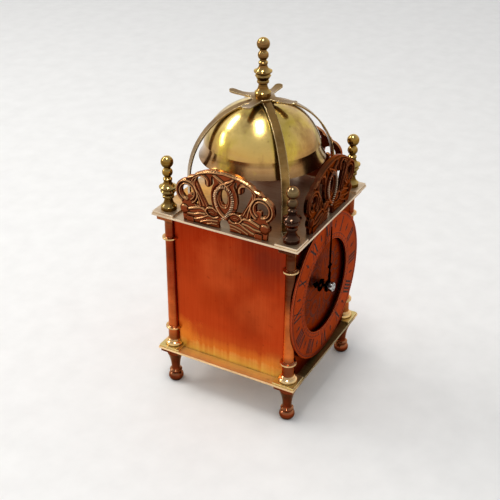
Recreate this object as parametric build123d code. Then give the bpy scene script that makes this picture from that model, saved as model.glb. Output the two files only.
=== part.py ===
from build123d import *
import os
from math import atan2, ceil, cos, degrees, hypot, radians, sin, sqrt

# A small spring-driven lantern clock in brass. Millimetres, +Z up, the dial faces -Y.
# The origin is on the table, under the middle of the case.

# ---- Dial: the case is built round it -------------------------------------------------------
ring_r = 41.8               # chapter ring
ring_side_clear = 0.8       # its edge to the outer edge of a corner square, in plan
ring_top_clear = 0.2        # its top to the underside of the top plate
chapter_width = 15.0        # band that carries the numerals
ring_thickness = 0.9
ring_standoff = 1.45        # air between the dial sheet and the chapter ring
ring_foot_r = 1.2

# ---- Case: plan ---------------------------------------------------------------------------
case_half = ring_r + ring_side_clear        # middle of the case to the outer edge of a corner square
square_side = 12.6          # thin squares above and below each column
plate_overhang = 0.4        # how far the top and base plates pass the squares
post_axis = case_half - square_side / 2     # columns, feet and finials stand on these axes
plate_half = case_half + plate_overhang

# ---- Case: heights, from the table up -----------------------------------------------------
foot_height = 21.0          # turned part of a foot
foot_cap_side = 11.4
foot_cap_thickness = 2.1
base_plate_thickness = 1.2
plinth_thickness = 1.1
column_height = 2 * ring_r + ring_top_clear
top_plate_thickness = 1.1
finial_square_thickness = 1.2
finial_height = 30.4

base_bottom_z = foot_height + foot_cap_thickness
base_top_z = base_bottom_z + base_plate_thickness
plinth_top_z = base_top_z + plinth_thickness
roof_bottom_z = plinth_top_z + column_height
roof_top_z = roof_bottom_z + top_plate_thickness
square_top_z = roof_top_z + finial_square_thickness
dial_z = plinth_top_z + ring_r              # height of the hands' axis

# ---- Fits ---------------------------------------------------------------------------------
running_gap = 0.05          # radial play of a turning pivot, and of a screw in its hole
sheet_gap = 0.15            # play of a tab in its slot and of a strap in its channel
turning_gap = 0.3           # air between pieces that pass each other
seat_gap = 0.1              # air where a curved strap crosses a flat or another strap

# ---- Columns, feet and finials ------------------------------------------------------------
stem_r = 1.5                # threaded stem of a foot or finial
stem_reach = 6.0            # how far a stem enters the column
stem_spare = 1.0            # bore left beyond the end of a stem
abacus_side = 9.6
abacus_height = 2.9
shaft_low_r = 3.05
shaft_high_r = 2.7
lower_ring_rise = 11.6      # foot of the column to the middle of its lower astragal
upper_ring_drop = 14.7      # top of the column to the middle of its upper astragal
ring_half_height = 0.4
lower_ring_r = 4.55
upper_ring_r = 4.3
torus_r = 5.0               # foot of a column
torus_top = 3.6             # height at which the plain shaft starts
shaft_foot_r = 3.35
capital_flare = 3.9         # height of the hollow under a column's square

# ---- Sheet metal of the case --------------------------------------------------------------
panel_side_clear = 0.2      # edge of a panel to the foot of a column
panel_half_width = post_axis - torus_r - panel_side_clear
scribed_half_width = post_axis - shaft_foot_r - panel_side_clear    # where a sheet meets the plain shaft
panel_thickness = 0.8
side_panel_inset = 6.4      # edge of a corner square to the face of a side panel
side_panel_x = case_half - side_panel_inset
tab_width = 8.0
tab_offset = 15.0
front_plate_inset = 4.6
front_plate_y = front_plate_inset - case_half   # front face of the dial sheet
front_plate_thickness = 1.0

# ---- Hands --------------------------------------------------------------------------------
ring_hole_r = ring_r - chapter_width
ring_foot_circle_r = (ring_r + ring_hole_r) / 2
hand_tip_inset = 4.8        # minute hand to the ring's outer edge, hour hand to its inner edge
minute_hand_length = ring_r - hand_tip_inset
hour_hand_length = ring_hole_r - hand_tip_inset
hand_thickness = 0.5
hour_hand_clear = 0.55      # chapter ring to hour hand
hand_spacing = 0.85         # hour hand to minute hand
nut_height = 2.8
nut_r = 2.7

# ---- Frets --------------------------------------------------------------------------------
fret_side_clear = 1.3       # end of a fret to the finial's square
fret_half_width = case_half - square_side - fret_side_clear
fret_unit = fret_half_width / 28.7          # the pattern is drawn 28.7 units wide on each side
fret_thickness = 1.9
fret_inset = 2.5            # edge of the top plate to the outer face of a fret
fret_screw_offset = 20.0 * fret_unit
fret_pad_width = 4.0
fret_pad_depth = 3.4
fret_pad_height = 3.0
screw_r = 0.8
screw_head_r = 1.5
screw_head_height = 0.9

# ---- Bell and its cage --------------------------------------------------------------------
hoop_r = 41.4               # outside of the upper hoop
hoop_leg_height = 17.1      # straight part of a hoop, above the top plate
hoop_width = 4.4
hoop_thickness = 0.9
hoop_toe = 3.5              # how far a hoop's foot passes the axis of the finial that holds it
bell_inset = 7.8            # outside of the upper hoop to the bell's rim
bell_height = 29.3
bell_wall = 1.2
bell_crown_r = 3.0
bell_boss_height = 0.5
bell_boss_r = 2.6
star_reach = 19.6
star_thickness = 0.8
stud_r = 1.5
bell_nut_height = 2.4
bell_nut_r = 3.2

hoop_spring_z = roof_top_z + hoop_leg_height
hoop_top_z = hoop_spring_z + hoop_r
cage_thickness = 2 * hoop_thickness + 2 * seat_gap
bell_top_z = hoop_top_z - cage_thickness - bell_boss_height
bell_rim_z = bell_top_z - bell_height
bell_rim_r = hoop_r - bell_inset
star_top_z = hoop_top_z + star_thickness

# ---- Movement -----------------------------------------------------------------------------
post_length = 5.5           # dial sheet to movement
movement_front_y = front_plate_y + front_plate_thickness + post_length
plate_thickness = 1.5
pillar_height = 17.0
movement_half_width = 27.0
movement_below = 34.0       # plates reach this far below and above the hands' axis
movement_above = 28.6
pillar_r = 2.2
pillar_stem_r = 1.0
pillar_x = 23.3
pillar_low = -30.0
pillar_high = 24.6
pivot_r = 0.4
hand_arbor_r = 0.9          # the centre arbor where it carries the hands
end_shake = 0.15            # air between an arbor's shoulder and the plate

bay_front_y = movement_front_y + plate_thickness      # between the plates
bay_back_y = bay_front_y + pillar_height
movement_back_y = bay_back_y + plate_thickness

# Teeth: wheel and pinion of each pair share a module.
barrel_teeth, intermediate_leaves, barrel_module = 60, 10, 0.50
intermediate_teeth, centre_leaves, intermediate_module = 48, 8, 0.45
centre_teeth, third_leaves, centre_module = 48, 6, 0.40
third_teeth, fourth_leaves, third_module = 45, 6, 0.36
fourth_teeth, escape_leaves, fourth_module = 48, 6, 0.30
cannon_teeth, minute_teeth, cannon_module = 12, 36, 0.40
minute_leaves, hour_teeth, hour_module = 8, 32, 0.48
wheel_thickness = 0.8
pinion_length = 2.2

barrel_offset = 8.0         # right of and below the hands' axis
barrel_drop = 17.0
drum_r = 13.6
drum_wall = 0.8
drum_length = 8.8
rim_thickness = 1.4
spring_strip = 0.5
spring_half_turns = 12
core_r = 3.0
journal_r = 1.5
key_square = 2.6
ratchet_teeth = 24
ratchet_r = 5.2
ratchet_depth = 0.8
ratchet_thickness = 1.2
key_tube_r = 2.9
key_tube_length = 12.0
key_wing_reach = 11.5       # axis of the key to the edge of a wing
key_wing_thickness = 1.6

escape_teeth = 15
escape_wheel_depth = 5.0    # escape wheel to the inside of the back plate
balance_lead = 5.0          # balance to the lever
escape_r = 4.2
pallet_span = 4.9           # escape arbor to pallet arbor
lever_reach = 8.0           # pallet arbor to balance staff
balance_r = 6.2
balance_rim = 1.1
balance_window_r = 7.0
staff_r = 0.7
roller_r = 1.7
pin_r = 0.22                # pallet pins and impulse pin
impulse_circle_r = 1.25
lever_thickness = 0.6
lever_width = 1.0
pallet_spread = 50.0        # angle of each pallet pin about the escape arbor, in degrees
pin_clear = 0.75            # pallet pins stand this far outside the escape wheel's tips
fork_clear = 0.65
hairspring_strip = 0.22
hairspring_inner_r = 1.3
hairspring_step = 0.35      # growth of each half turn
hairspring_half_turns = 10

# ---- Back door ----------------------------------------------------------------------------
door_thickness = 1.0
door_inset = 6.4            # edge of a corner square to the outer face of the door
door_side_clear = 0.7       # how much narrower the door is than a panel, on each side
hinge_inset = 2.4           # edge of the door to the axis of its pins
hinge_pin_r = 0.8
latch_inset = 8.4           # edge of the door to its latch
latch_drop = 11.0           # from the top plate down to the latch
latch_reach = 7.5           # latch spindle to the end of its tongue
latch_tongue_width = 2.4
latch_knob_r = 2.6
catch_height = 5.0          # lug under the top plate that holds the tongue

door_back_y = case_half - door_inset
door_front_y = door_back_y - door_thickness
door_half_width = panel_half_width - door_side_clear
hinge_x = door_half_width - hinge_inset
latch_x = latch_inset - door_half_width
latch_z = roof_bottom_z - latch_drop
tongue_front_y = door_front_y - 3.0
tongue_back_y = tongue_front_y + 0.8


# ---- Drawing helpers ----------------------------------------------------------------------
def outline(start, *steps):
    """A closed face: each step is a point, or a (middle, end) pair for an arc."""
    edges = []
    here = start
    for step in steps:
        if isinstance(step[0], tuple):
            edges.append(ThreePointArc(here, step[0], step[1]))
            here = step[1]
        else:
            edges.append(Line(here, step))
            here = step
    if hypot(here[0] - start[0], here[1] - start[1]) > 1e-6:
        edges.append(Line(here, start))
    return make_face(edges)


def turned(start, *steps):
    """A turned piece: an (r, z) outline swung about Z."""
    return revolve(Plane.XZ * outline(start, *steps), Axis.Z)


def along_z(sketch, low, high):
    return extrude(Plane.XY.offset(low) * sketch, high - low)


def along_y(sketch, front, back):
    """Extrude a sketch drawn in x and z, from y = front to y = back."""
    return extrude(Plane.XZ.offset(-back) * sketch, back - front)


def along_x(sketch, low, high):
    """Extrude a sketch drawn in y and z."""
    return extrude(Plane.YZ.offset(low) * sketch, high - low)


def rod_y(place, radius, front, back):
    """A round bar along Y at an (x, z) place."""
    return along_y(Pos(*place) * Circle(radius), front, back)


def box(low, high):
    size = [b - a for a, b in zip(low, high)]
    middle = [(a + b) / 2 for a, b in zip(low, high)]
    return Pos(*middle) * Box(*size)


def polar(place, radius, angle):
    """The point at a distance and an angle (degrees) from a place."""
    return (place[0] + radius * cos(radians(angle)), place[1] + radius * sin(radians(angle)))


def bearing(a, b):
    """The angle, in degrees, at which b is seen from a."""
    return degrees(atan2(b[1] - a[1], b[0] - a[0]))


def third_corner(a, b, from_a, from_b):
    """The point at two given distances from a and b, to the left of the line from a to b."""
    span = hypot(b[0] - a[0], b[1] - a[1])
    along = (from_a**2 - from_b**2 + span**2) / (2 * span)
    across = sqrt(from_a**2 - along**2)
    return polar(polar(a, along, bearing(a, b)), across, bearing(a, b) + 90)


def corners():
    return [(name_y + "_" + name_x, x * post_axis, y * post_axis)
            for name_y, y in (("front", -1), ("back", 1))
            for name_x, x in (("left", -1), ("right", 1))]


pieces = {}


# ---- Case: plates and squares -------------------------------------------------------------
def tab_slots():
    """Slots, in plan, that the tabs of the four sheets of the case pass through."""
    slots = Sketch()
    slot = (tab_width + 2 * sheet_gap)
    side_middle = side_panel_x - panel_thickness / 2
    front_middle = front_plate_y + front_plate_thickness / 2
    for along in (-tab_offset, tab_offset):
        for side in (-1, 1):
            slots += Pos(side * side_middle, along) * Rectangle(panel_thickness + 2 * sheet_gap, slot)
        slots += Pos(along, front_middle) * Rectangle(slot, front_plate_thickness + 2 * sheet_gap)
    return slots


def case_plate(low, high, hole_r):
    sheet = Rectangle(2 * plate_half, 2 * plate_half)
    for _, x, y in corners():
        sheet -= Pos(x, y) * Circle(hole_r)
    sheet -= tab_slots()
    sheet -= Pos(hinge_x, (door_front_y + door_back_y) / 2) * Circle(hinge_pin_r + running_gap)
    return along_z(sheet, low, high)


def fret_screw_places():
    """Plan positions of the six screws that hold the frets."""
    middle = plate_half - fret_inset - fret_thickness / 2
    places = []
    for side in (-1, 1):
        places.append((side * fret_screw_offset, -middle))
        places.append((-middle, side * fret_screw_offset))
        places.append((middle, side * fret_screw_offset))
    return places


pieces["base_plate"] = case_plate(base_bottom_z, base_top_z, stem_r + running_gap)
roof = case_plate(roof_bottom_z, roof_top_z, stem_r + running_gap)
for x, y in fret_screw_places():
    roof -= Pos(x, y) * along_z(Circle(screw_r + running_gap), roof_bottom_z - 1, roof_top_z + 1)
roof += box((latch_x - 3, tongue_back_y + turning_gap, roof_bottom_z - catch_height),
            (latch_x + 3, door_front_y - turning_gap, roof_bottom_z))
pieces["top_plate"] = roof

plinths = []
finial_squares = []
for _, x, y in corners():
    square = Rectangle(square_side, square_side) - Circle(stem_r + running_gap)
    plinths.append(Pos(x, y) * along_z(square, base_top_z, plinth_top_z))
    channel_width = hoop_width + 2 * sheet_gap
    channel_end = hoop_toe + sheet_gap
    channel = Pos(channel_end - square_side, 0) * Rectangle(2 * square_side, channel_width)
    channel = along_z(channel, roof_top_z - 1, roof_top_z + hoop_thickness + running_gap)
    channel = Pos(x, y) * Rot(0, 0, bearing((0, 0), (x, y))) * channel
    finial_squares.append(Pos(x, y) * along_z(square, roof_top_z, square_top_z) - channel)
pieces["column_plinths"] = Compound(children=plinths)
pieces["finial_squares"] = Compound(children=finial_squares)


# ---- Columns, feet, finials ---------------------------------------------------------------
def column():
    ring = ring_half_height
    low, high = lower_ring_rise, column_height - upper_ring_drop
    neck_top = column_height - abacus_height
    shaft = turned(
        (0, 0), (torus_r, 0), ((torus_r + 0.15, 0.9), (torus_r - 0.4, 1.9)),
        (3.9, 2.3), (3.9, 3.0), (shaft_foot_r, torus_top), (shaft_low_r + 0.15, low - 2 * ring),
        (lower_ring_r, low - ring), (lower_ring_r, low + ring), (shaft_low_r, low + 2 * ring),
        (shaft_high_r, high - 2 * ring), (upper_ring_r, high - ring), (upper_ring_r, high + ring),
        (shaft_high_r, high + 2 * ring), (shaft_high_r, neck_top - capital_flare),
        ((shaft_high_r + 0.35, neck_top - 1.4), (abacus_side / 2 - 0.6, neck_top)), (0, neck_top))
    cap = along_z(Rectangle(abacus_side, abacus_side), neck_top, column_height)
    depth = stem_reach + stem_spare
    bore = Circle(stem_r + running_gap)
    return shaft + cap - along_z(bore, 0, depth) - along_z(bore, column_height - depth, column_height)


def foot():
    cap_z = foot_height
    turning = turned(
        (0, 0), (3.2, 0), ((4.35, 2.4), (3.3, 4.8)), (2.8, 5.2), (3.6, 5.8), (3.6, 6.7), (2.7, 7.3),
        (2.5, 8.4), ((3.0, 13.4), (4.6, cap_z - 2.4)), (4.6, cap_z - 1.5), (4.0, cap_z), (0, cap_z))
    cap = along_z(Rectangle(foot_cap_side, foot_cap_side), cap_z, base_bottom_z)
    stem = along_z(Circle(stem_r), base_bottom_z, plinth_top_z + stem_reach)
    return turning + cap + stem


def finial(stem_length):
    """Base flange, waist, cup, wide disc, two balls; the stem goes down from its base."""
    top = finial_height
    ball_r = 3.35
    ball_z = top - ball_r
    neck_r = 1.8
    ball_foot = ball_z - sqrt(ball_r**2 - neck_r**2)
    turning = turned(
        (0, 0), (4.25, 0), (4.25, 2.0), ((2.75, 3.9), (2.3, 6.2)), (3.1, 7.0), (3.1, 7.9), (2.8, 8.3),
        (4.1, 10.6), (3.5, 11.4), (4.75, 12.7), (4.75, 13.2), ((3.0, 14.3), (2.1, 16.2)),
        (2.4, 17.0), (2.4, 17.8), (1.7, 18.4), (neck_r, 19.2), ((2.8, 21.3), (neck_r, 23.4)),
        (neck_r, ball_foot), ((ball_r, ball_z), (0, top)))
    return turning + along_z(Circle(stem_r), -stem_length, 0)


finial_stem = finial_square_thickness + top_plate_thickness + stem_reach
for name, x, y in corners():
    pieces["foot_" + name] = Pos(x, y, 0) * foot()
    pieces["column_" + name] = Pos(x, y, plinth_top_z) * column()
    pieces["finial_" + name] = Pos(x, y, square_top_z) * finial(finial_stem)

stud_length = star_thickness + cage_thickness + bell_boss_height + bell_wall + bell_nut_height + 1.0
pieces["centre_finial"] = Pos(0, 0, star_top_z) * finial(stud_length)


# ---- Frets --------------------------------------------------------------------------------
def dolphin_fret():
    """Crossed-dolphin fret, drawn in x and height above the top plate: half an arch, volute and head."""
    right = outline(
        (0, 6.4), ((2.3, 4.7), (3.2, 0)), (24.4, 0), (24.8, 4.0), ((26.3, 6.6), (24.9, 9.2)),
        (25.3, 10.4), ((28.7, 16.8), (22.6, 23.8)), (20.6, 25.9), (17.7, 26.6), (16.6, 28.2),
        (14.2, 29.4), ((7.6, 31.7), (0, 32.4)))
    heart = outline(
        (6.3, 28.2), (7.4, 28.2), (7.4, 24.2), ((9.2, 22.2), (11.0, 24.2)), (11.2, 26.0),
        ((14.6, 26.6), (16.1, 23.4)), (12.9, 16.4), (10.0, 11.2), (6.2, 11.2),
        ((7.7, 18.4), (5.6, 25.2)))
    eye = Pos(21.6, 16.8) * Circle(3.6) - Pos(19.9, 14.3) * Circle(1.6)
    gore = outline((15.1, 10.3), (17.4, 10.3), (15.4, 13.6))
    right -= heart
    right -= eye
    right -= gore
    whole = right + mirror(right, Plane.YZ) - Pos(0, 18.4) * Ellipse(2.2, 4.4)
    return scale(whole, by=fret_unit)


def fret():
    """The front fret with its screw pads; the side frets are turned copies of it."""
    front = -(plate_half - fret_inset)
    back = front + fret_thickness
    middle = (front + back) / 2
    body = along_y(Pos(0, roof_top_z) * dolphin_fret(), front, back)
    for side in (-1, 1):
        x = side * fret_screw_offset
        pad = box((x - fret_pad_width / 2, middle - fret_pad_depth / 2, roof_top_z),
                  (x + fret_pad_width / 2, middle + fret_pad_depth / 2, roof_top_z + fret_pad_height))
        body += pad
        body -= Pos(x, middle) * along_z(Circle(screw_r + running_gap), roof_top_z - 1,
                                         roof_top_z + fret_pad_height)
    return body


fret_front = fret()
pieces["fret_front"] = fret_front
pieces["fret_left"] = Rot(0, 0, -90) * fret_front
pieces["fret_right"] = Rot(0, 0, 90) * fret_front

screws = []
for x, y in fret_screw_places():
    head = along_z(Circle(screw_head_r), roof_bottom_z - screw_head_height, roof_bottom_z)
    shank = along_z(Circle(screw_r), roof_bottom_z, roof_top_z + fret_pad_height - 0.4)
    screws.append(Pos(x, y) * (head + shank))
pieces["fret_screws"] = Compound(children=screws)


# ---- Bell, hoops, star --------------------------------------------------------------------
def hoop(outer_r, angle):
    """A strap bent into an arch, with a foot under a finial square at each end."""
    inner_r = outer_r - hoop_thickness
    post = hypot(post_axis, post_axis)
    toe = post + hoop_toe
    arch = Pos(0, hoop_spring_z) * (Circle(outer_r) - Circle(inner_r))
    arch -= Pos(0, hoop_spring_z - outer_r) * Rectangle(3 * outer_r, 2 * outer_r)
    for side in (-1, 1):
        leg_height = hoop_spring_z - roof_top_z
        arch += Pos(side * (outer_r - hoop_thickness / 2), roof_top_z + leg_height / 2) * Rectangle(
            hoop_thickness, leg_height)
        foot_length = toe - inner_r
        arch += Pos(side * (inner_r + foot_length / 2), roof_top_z + hoop_thickness / 2) * Rectangle(
            foot_length, hoop_thickness)
    strap = along_y(arch, -hoop_width / 2, hoop_width / 2)
    strap -= Cylinder(stud_r + running_gap, 3 * hoop_top_z)
    for side in (-1, 1):
        strap -= Pos(side * post, 0, roof_top_z) * Cylinder(stem_r + running_gap, 4 * hoop_thickness)
    return Rot(0, 0, angle) * strap


pieces["bell_hoop_upper"] = hoop(hoop_r, 45)
pieces["bell_hoop_lower"] = hoop(hoop_r - hoop_thickness - seat_gap, -45)


def bell():
    """A domed shell with a flared lip and a flat boss that seats against the lower hoop."""
    top, rim, wall = bell_top_z, bell_rim_z, bell_wall
    dome_r = bell_rim_r * 0.61
    dome_z = top - bell_rim_r * 0.176
    shoulder_r = bell_rim_r - 2.8
    shoulder_z = rim + 8.3
    shell = turned(
        (stud_r + running_gap, top + bell_boss_height), (bell_boss_r, top + bell_boss_height),
        (bell_boss_r, top),
        (bell_crown_r, top), ((dome_r, dome_z), (shoulder_r, shoulder_z)),
        ((shoulder_r + 0.9, rim + 3.6), (bell_rim_r, rim)), (bell_rim_r - wall - 0.2, rim),
        ((shoulder_r + 0.9 - wall, rim + 3.6), (shoulder_r - wall, shoulder_z)),
        ((dome_r - wall * 0.57, dome_z - wall * 0.82), (bell_crown_r, top - wall)),
        (stud_r + running_gap, top - wall))
    return shell


pieces["bell"] = bell()


def petal_star():
    """Four curled petals cut from a dished disc."""
    petals = Circle(6.4)
    for quarter in range(4):
        petal = outline((0, -3.4), (6.0, -2.6), (12.5, -1.9), (star_reach - 2.5, -2.3),
                        ((star_reach, 0), (star_reach - 2.5, 2.3)), (12.5, 1.9), (6.0, 2.6), (0, 3.4))
        petals += Rot(0, 0, 90 * quarter) * petal
    petals -= Circle(stud_r + running_gap)
    dish = turned(
        (0, hoop_top_z), (4.3, hoop_top_z), ((12.0, hoop_top_z - 0.9), (star_reach + 1, hoop_top_z + 0.2)),
        (star_reach + 1, star_top_z + 0.2), ((12.0, star_top_z - 0.9), (4.3, star_top_z)), (0, star_top_z))
    return dish & along_z(petals, hoop_top_z - 3, star_top_z + 3)


pieces["petal_star"] = petal_star()

nut_top = bell_top_z - bell_wall
bell_nut = RegularPolygon(bell_nut_r, 6) - Circle(stud_r + running_gap)
bell_nut = along_z(bell_nut, nut_top - bell_nut_height, nut_top)
pieces["bell_nut"] = bell_nut


# ---- Panels and front plate ---------------------------------------------------------------
def case_sheet(half_width):
    """A sheet that fills one side of the case, scribed round the columns, with notches and four tabs."""
    height = roof_bottom_z - base_top_z
    sheet = Pos(0, base_top_z + height / 2) * Rectangle(2 * half_width, height)
    lower_ring_z = plinth_top_z + lower_ring_rise
    upper_ring_z = roof_bottom_z - upper_ring_drop
    past_ring = 2 * ring_half_height + panel_side_clear
    capital_z = roof_bottom_z - abacus_height - capital_flare
    for low, high in ((plinth_top_z + torus_top, lower_ring_z - past_ring),
                      (lower_ring_z + past_ring, upper_ring_z - past_ring),
                      (upper_ring_z + past_ring, capital_z)):
        sheet += Pos(0, (low + high) / 2) * Rectangle(2 * scribed_half_width, high - low)
    notch_x = post_axis - square_side / 2 - turning_gap
    notch_width = half_width - notch_x
    for side in (-1, 1):
        notch_height = plinth_thickness + turning_gap
        sheet -= Pos(side * (notch_x + notch_width / 2), base_top_z + notch_height / 2) * Rectangle(
            notch_width, notch_height)
        for z, height_of_tab in ((base_bottom_z, base_plate_thickness), (roof_bottom_z, top_plate_thickness)):
            sheet += Pos(side * tab_offset, z + height_of_tab / 2) * Rectangle(tab_width, height_of_tab)
    return sheet


side_sheet = along_x(case_sheet(panel_half_width), side_panel_x - panel_thickness, side_panel_x)
pieces["right_panel"] = side_sheet
pieces["left_panel"] = mirror(side_sheet, Plane.YZ)

front_sheet = case_sheet(panel_half_width) - Pos(0, dial_z) * Circle(3.0)
for quarter in range(4):
    front_sheet -= Pos(*polar((0, dial_z), ring_foot_circle_r, 45 + 90 * quarter)) * Circle(ring_foot_r)
pieces["front_plate"] = along_y(front_sheet, front_plate_y, front_plate_y + front_plate_thickness)

ring_back_y = front_plate_y - ring_standoff
ring_front_y = ring_back_y - ring_thickness
chapter_ring = along_y(Pos(0, dial_z) * (Circle(ring_r) - Circle(ring_hole_r)), ring_front_y, ring_back_y)
for quarter in range(4):
    place = polar((0, dial_z), ring_foot_circle_r, 45 + 90 * quarter)
    chapter_ring += rod_y(place, ring_foot_r, ring_back_y, front_plate_y + front_plate_thickness)
pieces["chapter_ring"] = chapter_ring


# ---- Gears --------------------------------------------------------------------------------
addendum = 0.80             # tooth height above and below the pitch circle, in modules
dedendum = 1.15
tip_share = 0.13            # half-width of a tooth at its tip and root, as a share of the pitch
root_share = 0.27


def gear(teeth, module, aim):
    """A gear's outline, with the middle of one tooth at the angle aim."""
    pitch_r = teeth * module / 2
    pitch_angle = 360 / teeth
    root = pitch_r - dedendum * module
    tip = pitch_r + addendum * module
    points = []
    for tooth in range(teeth):
        middle = aim + tooth * pitch_angle
        for radius, share in ((root, -root_share), (tip, -tip_share), (tip, tip_share), (root, root_share)):
            points.append(polar((0, 0), radius, middle + share * pitch_angle))
    return make_face(Polyline(*points, close=True))


def spoked(blank, rim_r, hub_r, arms=4, arm_width=1.6):
    """A wheel blank crossed out between its hub and rim."""
    window = Circle(rim_r) - Circle(hub_r)
    for arm in range(arms):
        window -= Rot(0, 0, arm * 360 / arms) * Pos(rim_r / 2, 0) * Rectangle(rim_r + 2, arm_width)
    return blank - window


def wheel(teeth, module, aim):
    return spoked(gear(teeth, module, aim), teeth * module / 2 - dedendum * module - 1.0, 2.4)


def distance(teeth, leaves, module):
    return module * (teeth + leaves) / 2


def gap_aim(pinion_at, wheel_at, leaves):
    """The angle that turns a gap of a pinion towards the wheel that drives it."""
    return bearing(pinion_at, wheel_at) + 180 / leaves


def root_r(teeth, module):
    return teeth * module / 2 - dedendum * module


def arbor(place, radius):
    """An arbor between the plates, with a pivot in each."""
    near = bay_front_y + end_shake
    far = bay_back_y - end_shake
    return rod_y(place, radius, near, far) + rod_y(place, pivot_r, movement_front_y, movement_back_y)


# Places of the arbors, in x and z. The train climbs from the barrel to the balance.
centre_at = (0.0, dial_z)
barrel_at = (barrel_offset, dial_z - barrel_drop)
intermediate_at = third_corner(barrel_at, centre_at,
                               distance(barrel_teeth, intermediate_leaves, barrel_module),
                               distance(intermediate_teeth, centre_leaves, intermediate_module))
third_at = polar(centre_at, distance(centre_teeth, third_leaves, centre_module), 135)
fourth_at = polar(third_at, distance(third_teeth, fourth_leaves, third_module), 60)
escape_at = polar(fourth_at, distance(fourth_teeth, escape_leaves, fourth_module), 20)
pallet_at = polar(escape_at, pallet_span, -10)
balance_at = polar(pallet_at, lever_reach, -10)
minute_at = polar(centre_at, distance(minute_teeth, cannon_teeth, cannon_module), -60)
pillar_places = [(side * pillar_x, dial_z + height)
                 for side in (-1, 1) for height in (pillar_low, pillar_high)]

# Where each wheel and pinion lies along Y.
drum_front_y = bay_front_y + 1.5
drum_back_y = drum_front_y + drum_length
intermediate_wheel_y = bay_back_y - 2.6
centre_wheel_y = drum_back_y + 1.2
third_wheel_y = centre_wheel_y - 3.6
fourth_wheel_y = third_wheel_y - 3.2
escape_wheel_y = bay_back_y - escape_wheel_depth


def driven(place, driver_at, leaves, module, pinion_y, teeth=0, teeth_module=0, next_at=None, wheel_y=0):
    """An arbor with the pinion that is driven and, if it has teeth, the wheel that drives the next."""
    body = arbor(place, root_r(leaves, module))
    pinion = gear(leaves, module, gap_aim(place, driver_at, leaves))
    body += along_y(Pos(*place) * pinion, pinion_y - pinion_length / 2, pinion_y + pinion_length / 2)
    if teeth:
        disc = Pos(*place) * wheel(teeth, teeth_module, bearing(place, next_at))
        body += along_y(disc, wheel_y, wheel_y + wheel_thickness)
    return body


half_wheel = wheel_thickness / 2
pieces["intermediate_wheel"] = driven(
    intermediate_at, barrel_at, intermediate_leaves, barrel_module, drum_front_y + rim_thickness / 2,
    intermediate_teeth, intermediate_module, centre_at, intermediate_wheel_y)
cannon_tip_y = ring_front_y - hour_hand_clear - hand_thickness - hand_spacing
centre_front_y = cannon_tip_y + 1.5
pieces["centre_wheel"] = driven(
    centre_at, intermediate_at, centre_leaves, intermediate_module, intermediate_wheel_y + half_wheel,
    centre_teeth, centre_module, third_at, centre_wheel_y)
pieces["centre_wheel"] += rod_y(centre_at, hand_arbor_r, centre_front_y, bay_front_y + end_shake)
pieces["third_wheel"] = driven(
    third_at, centre_at, third_leaves, centre_module, centre_wheel_y + half_wheel,
    third_teeth, third_module, fourth_at, third_wheel_y)
pieces["fourth_wheel"] = driven(
    fourth_at, third_at, fourth_leaves, third_module, third_wheel_y + half_wheel,
    fourth_teeth, fourth_module, escape_at, fourth_wheel_y)


def escape_disc():
    """Escape wheel: slender raked teeth on a spoked rim."""
    pitch_angle = 360 / escape_teeth
    root = escape_r - 1.1
    points = []
    for tooth in range(escape_teeth):
        start = tooth * pitch_angle
        points.append(polar((0, 0), root, start))
        points.append(polar((0, 0), escape_r, start + 0.20 * pitch_angle))
        points.append(polar((0, 0), escape_r, start + 0.32 * pitch_angle))
        points.append(polar((0, 0), root, start + 0.62 * pitch_angle))
    return make_face(Polyline(*points, close=True)) - Circle(root - 0.6) + Circle(1.2) + Rectangle(
        2 * root - 1, 0.7) + Rectangle(0.7, 2 * root - 1)


pieces["escape_wheel"] = driven(
    escape_at, fourth_at, escape_leaves, fourth_module, fourth_wheel_y + half_wheel)
pieces["escape_wheel"] += along_y(Pos(*escape_at) * escape_disc(), escape_wheel_y, escape_wheel_y + 0.5)


# ---- Barrel and winding work --------------------------------------------------------------
def spiral(start_r, step, half_turns, strip):
    """A flat spiral of half rings, each larger by a step than the last and moved to meet it."""
    coil = Sketch()
    for turn in range(half_turns):
        radius = start_r + turn * step
        band = Circle(radius + strip / 2) - Circle(radius - strip / 2)
        if turn % 2:
            coil += Pos(-step, 0) * (band & Pos(0, -radius) * Rectangle(4 * radius, 2 * radius))
        else:
            coil += band & Pos(0, radius) * Rectangle(4 * radius, 2 * radius)
    return coil


def barrel():
    """A drum whose floor carries the great wheel's teeth, with its lid pressed in."""
    bore = Circle(journal_r + running_gap)
    rim = gear(barrel_teeth, barrel_module, bearing(barrel_at, intermediate_at)) - bore
    drum = along_y(Pos(*barrel_at) * rim, drum_front_y, drum_front_y + rim_thickness)
    wall = Pos(*barrel_at) * (Circle(drum_r) - Circle(drum_r - drum_wall))
    drum += along_y(wall, drum_front_y + rim_thickness, drum_back_y)
    lid = Pos(*barrel_at) * (Circle(drum_r) - bore)
    return drum + along_y(lid, drum_back_y - drum_wall, drum_back_y)


pieces["mainspring_barrel"] = barrel()
spring_front = drum_front_y + rim_thickness + turning_gap
spring_back = drum_back_y - drum_wall - turning_gap
spring_start = core_r + turning_gap + spring_strip / 2
spring_step = (drum_r - drum_wall - running_gap - spring_strip / 2 - spring_start) / spring_half_turns
mainspring = Pos(*barrel_at) * spiral(spring_start, spring_step, spring_half_turns, spring_strip)
pieces["mainspring"] = along_y(mainspring, spring_front, spring_back)

ratchet_front_y = movement_back_y + 0.2
ratchet_back_y = ratchet_front_y + ratchet_thickness
square_end_y = ratchet_back_y + 9.0
winding_arbor = rod_y(barrel_at, core_r, spring_front, spring_back)
winding_arbor += rod_y(barrel_at, journal_r, movement_front_y, ratchet_front_y)
winding_arbor += along_y(Pos(*barrel_at) * Rectangle(key_square, key_square), ratchet_front_y, square_end_y)
pieces["barrel_arbor"] = winding_arbor

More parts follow.
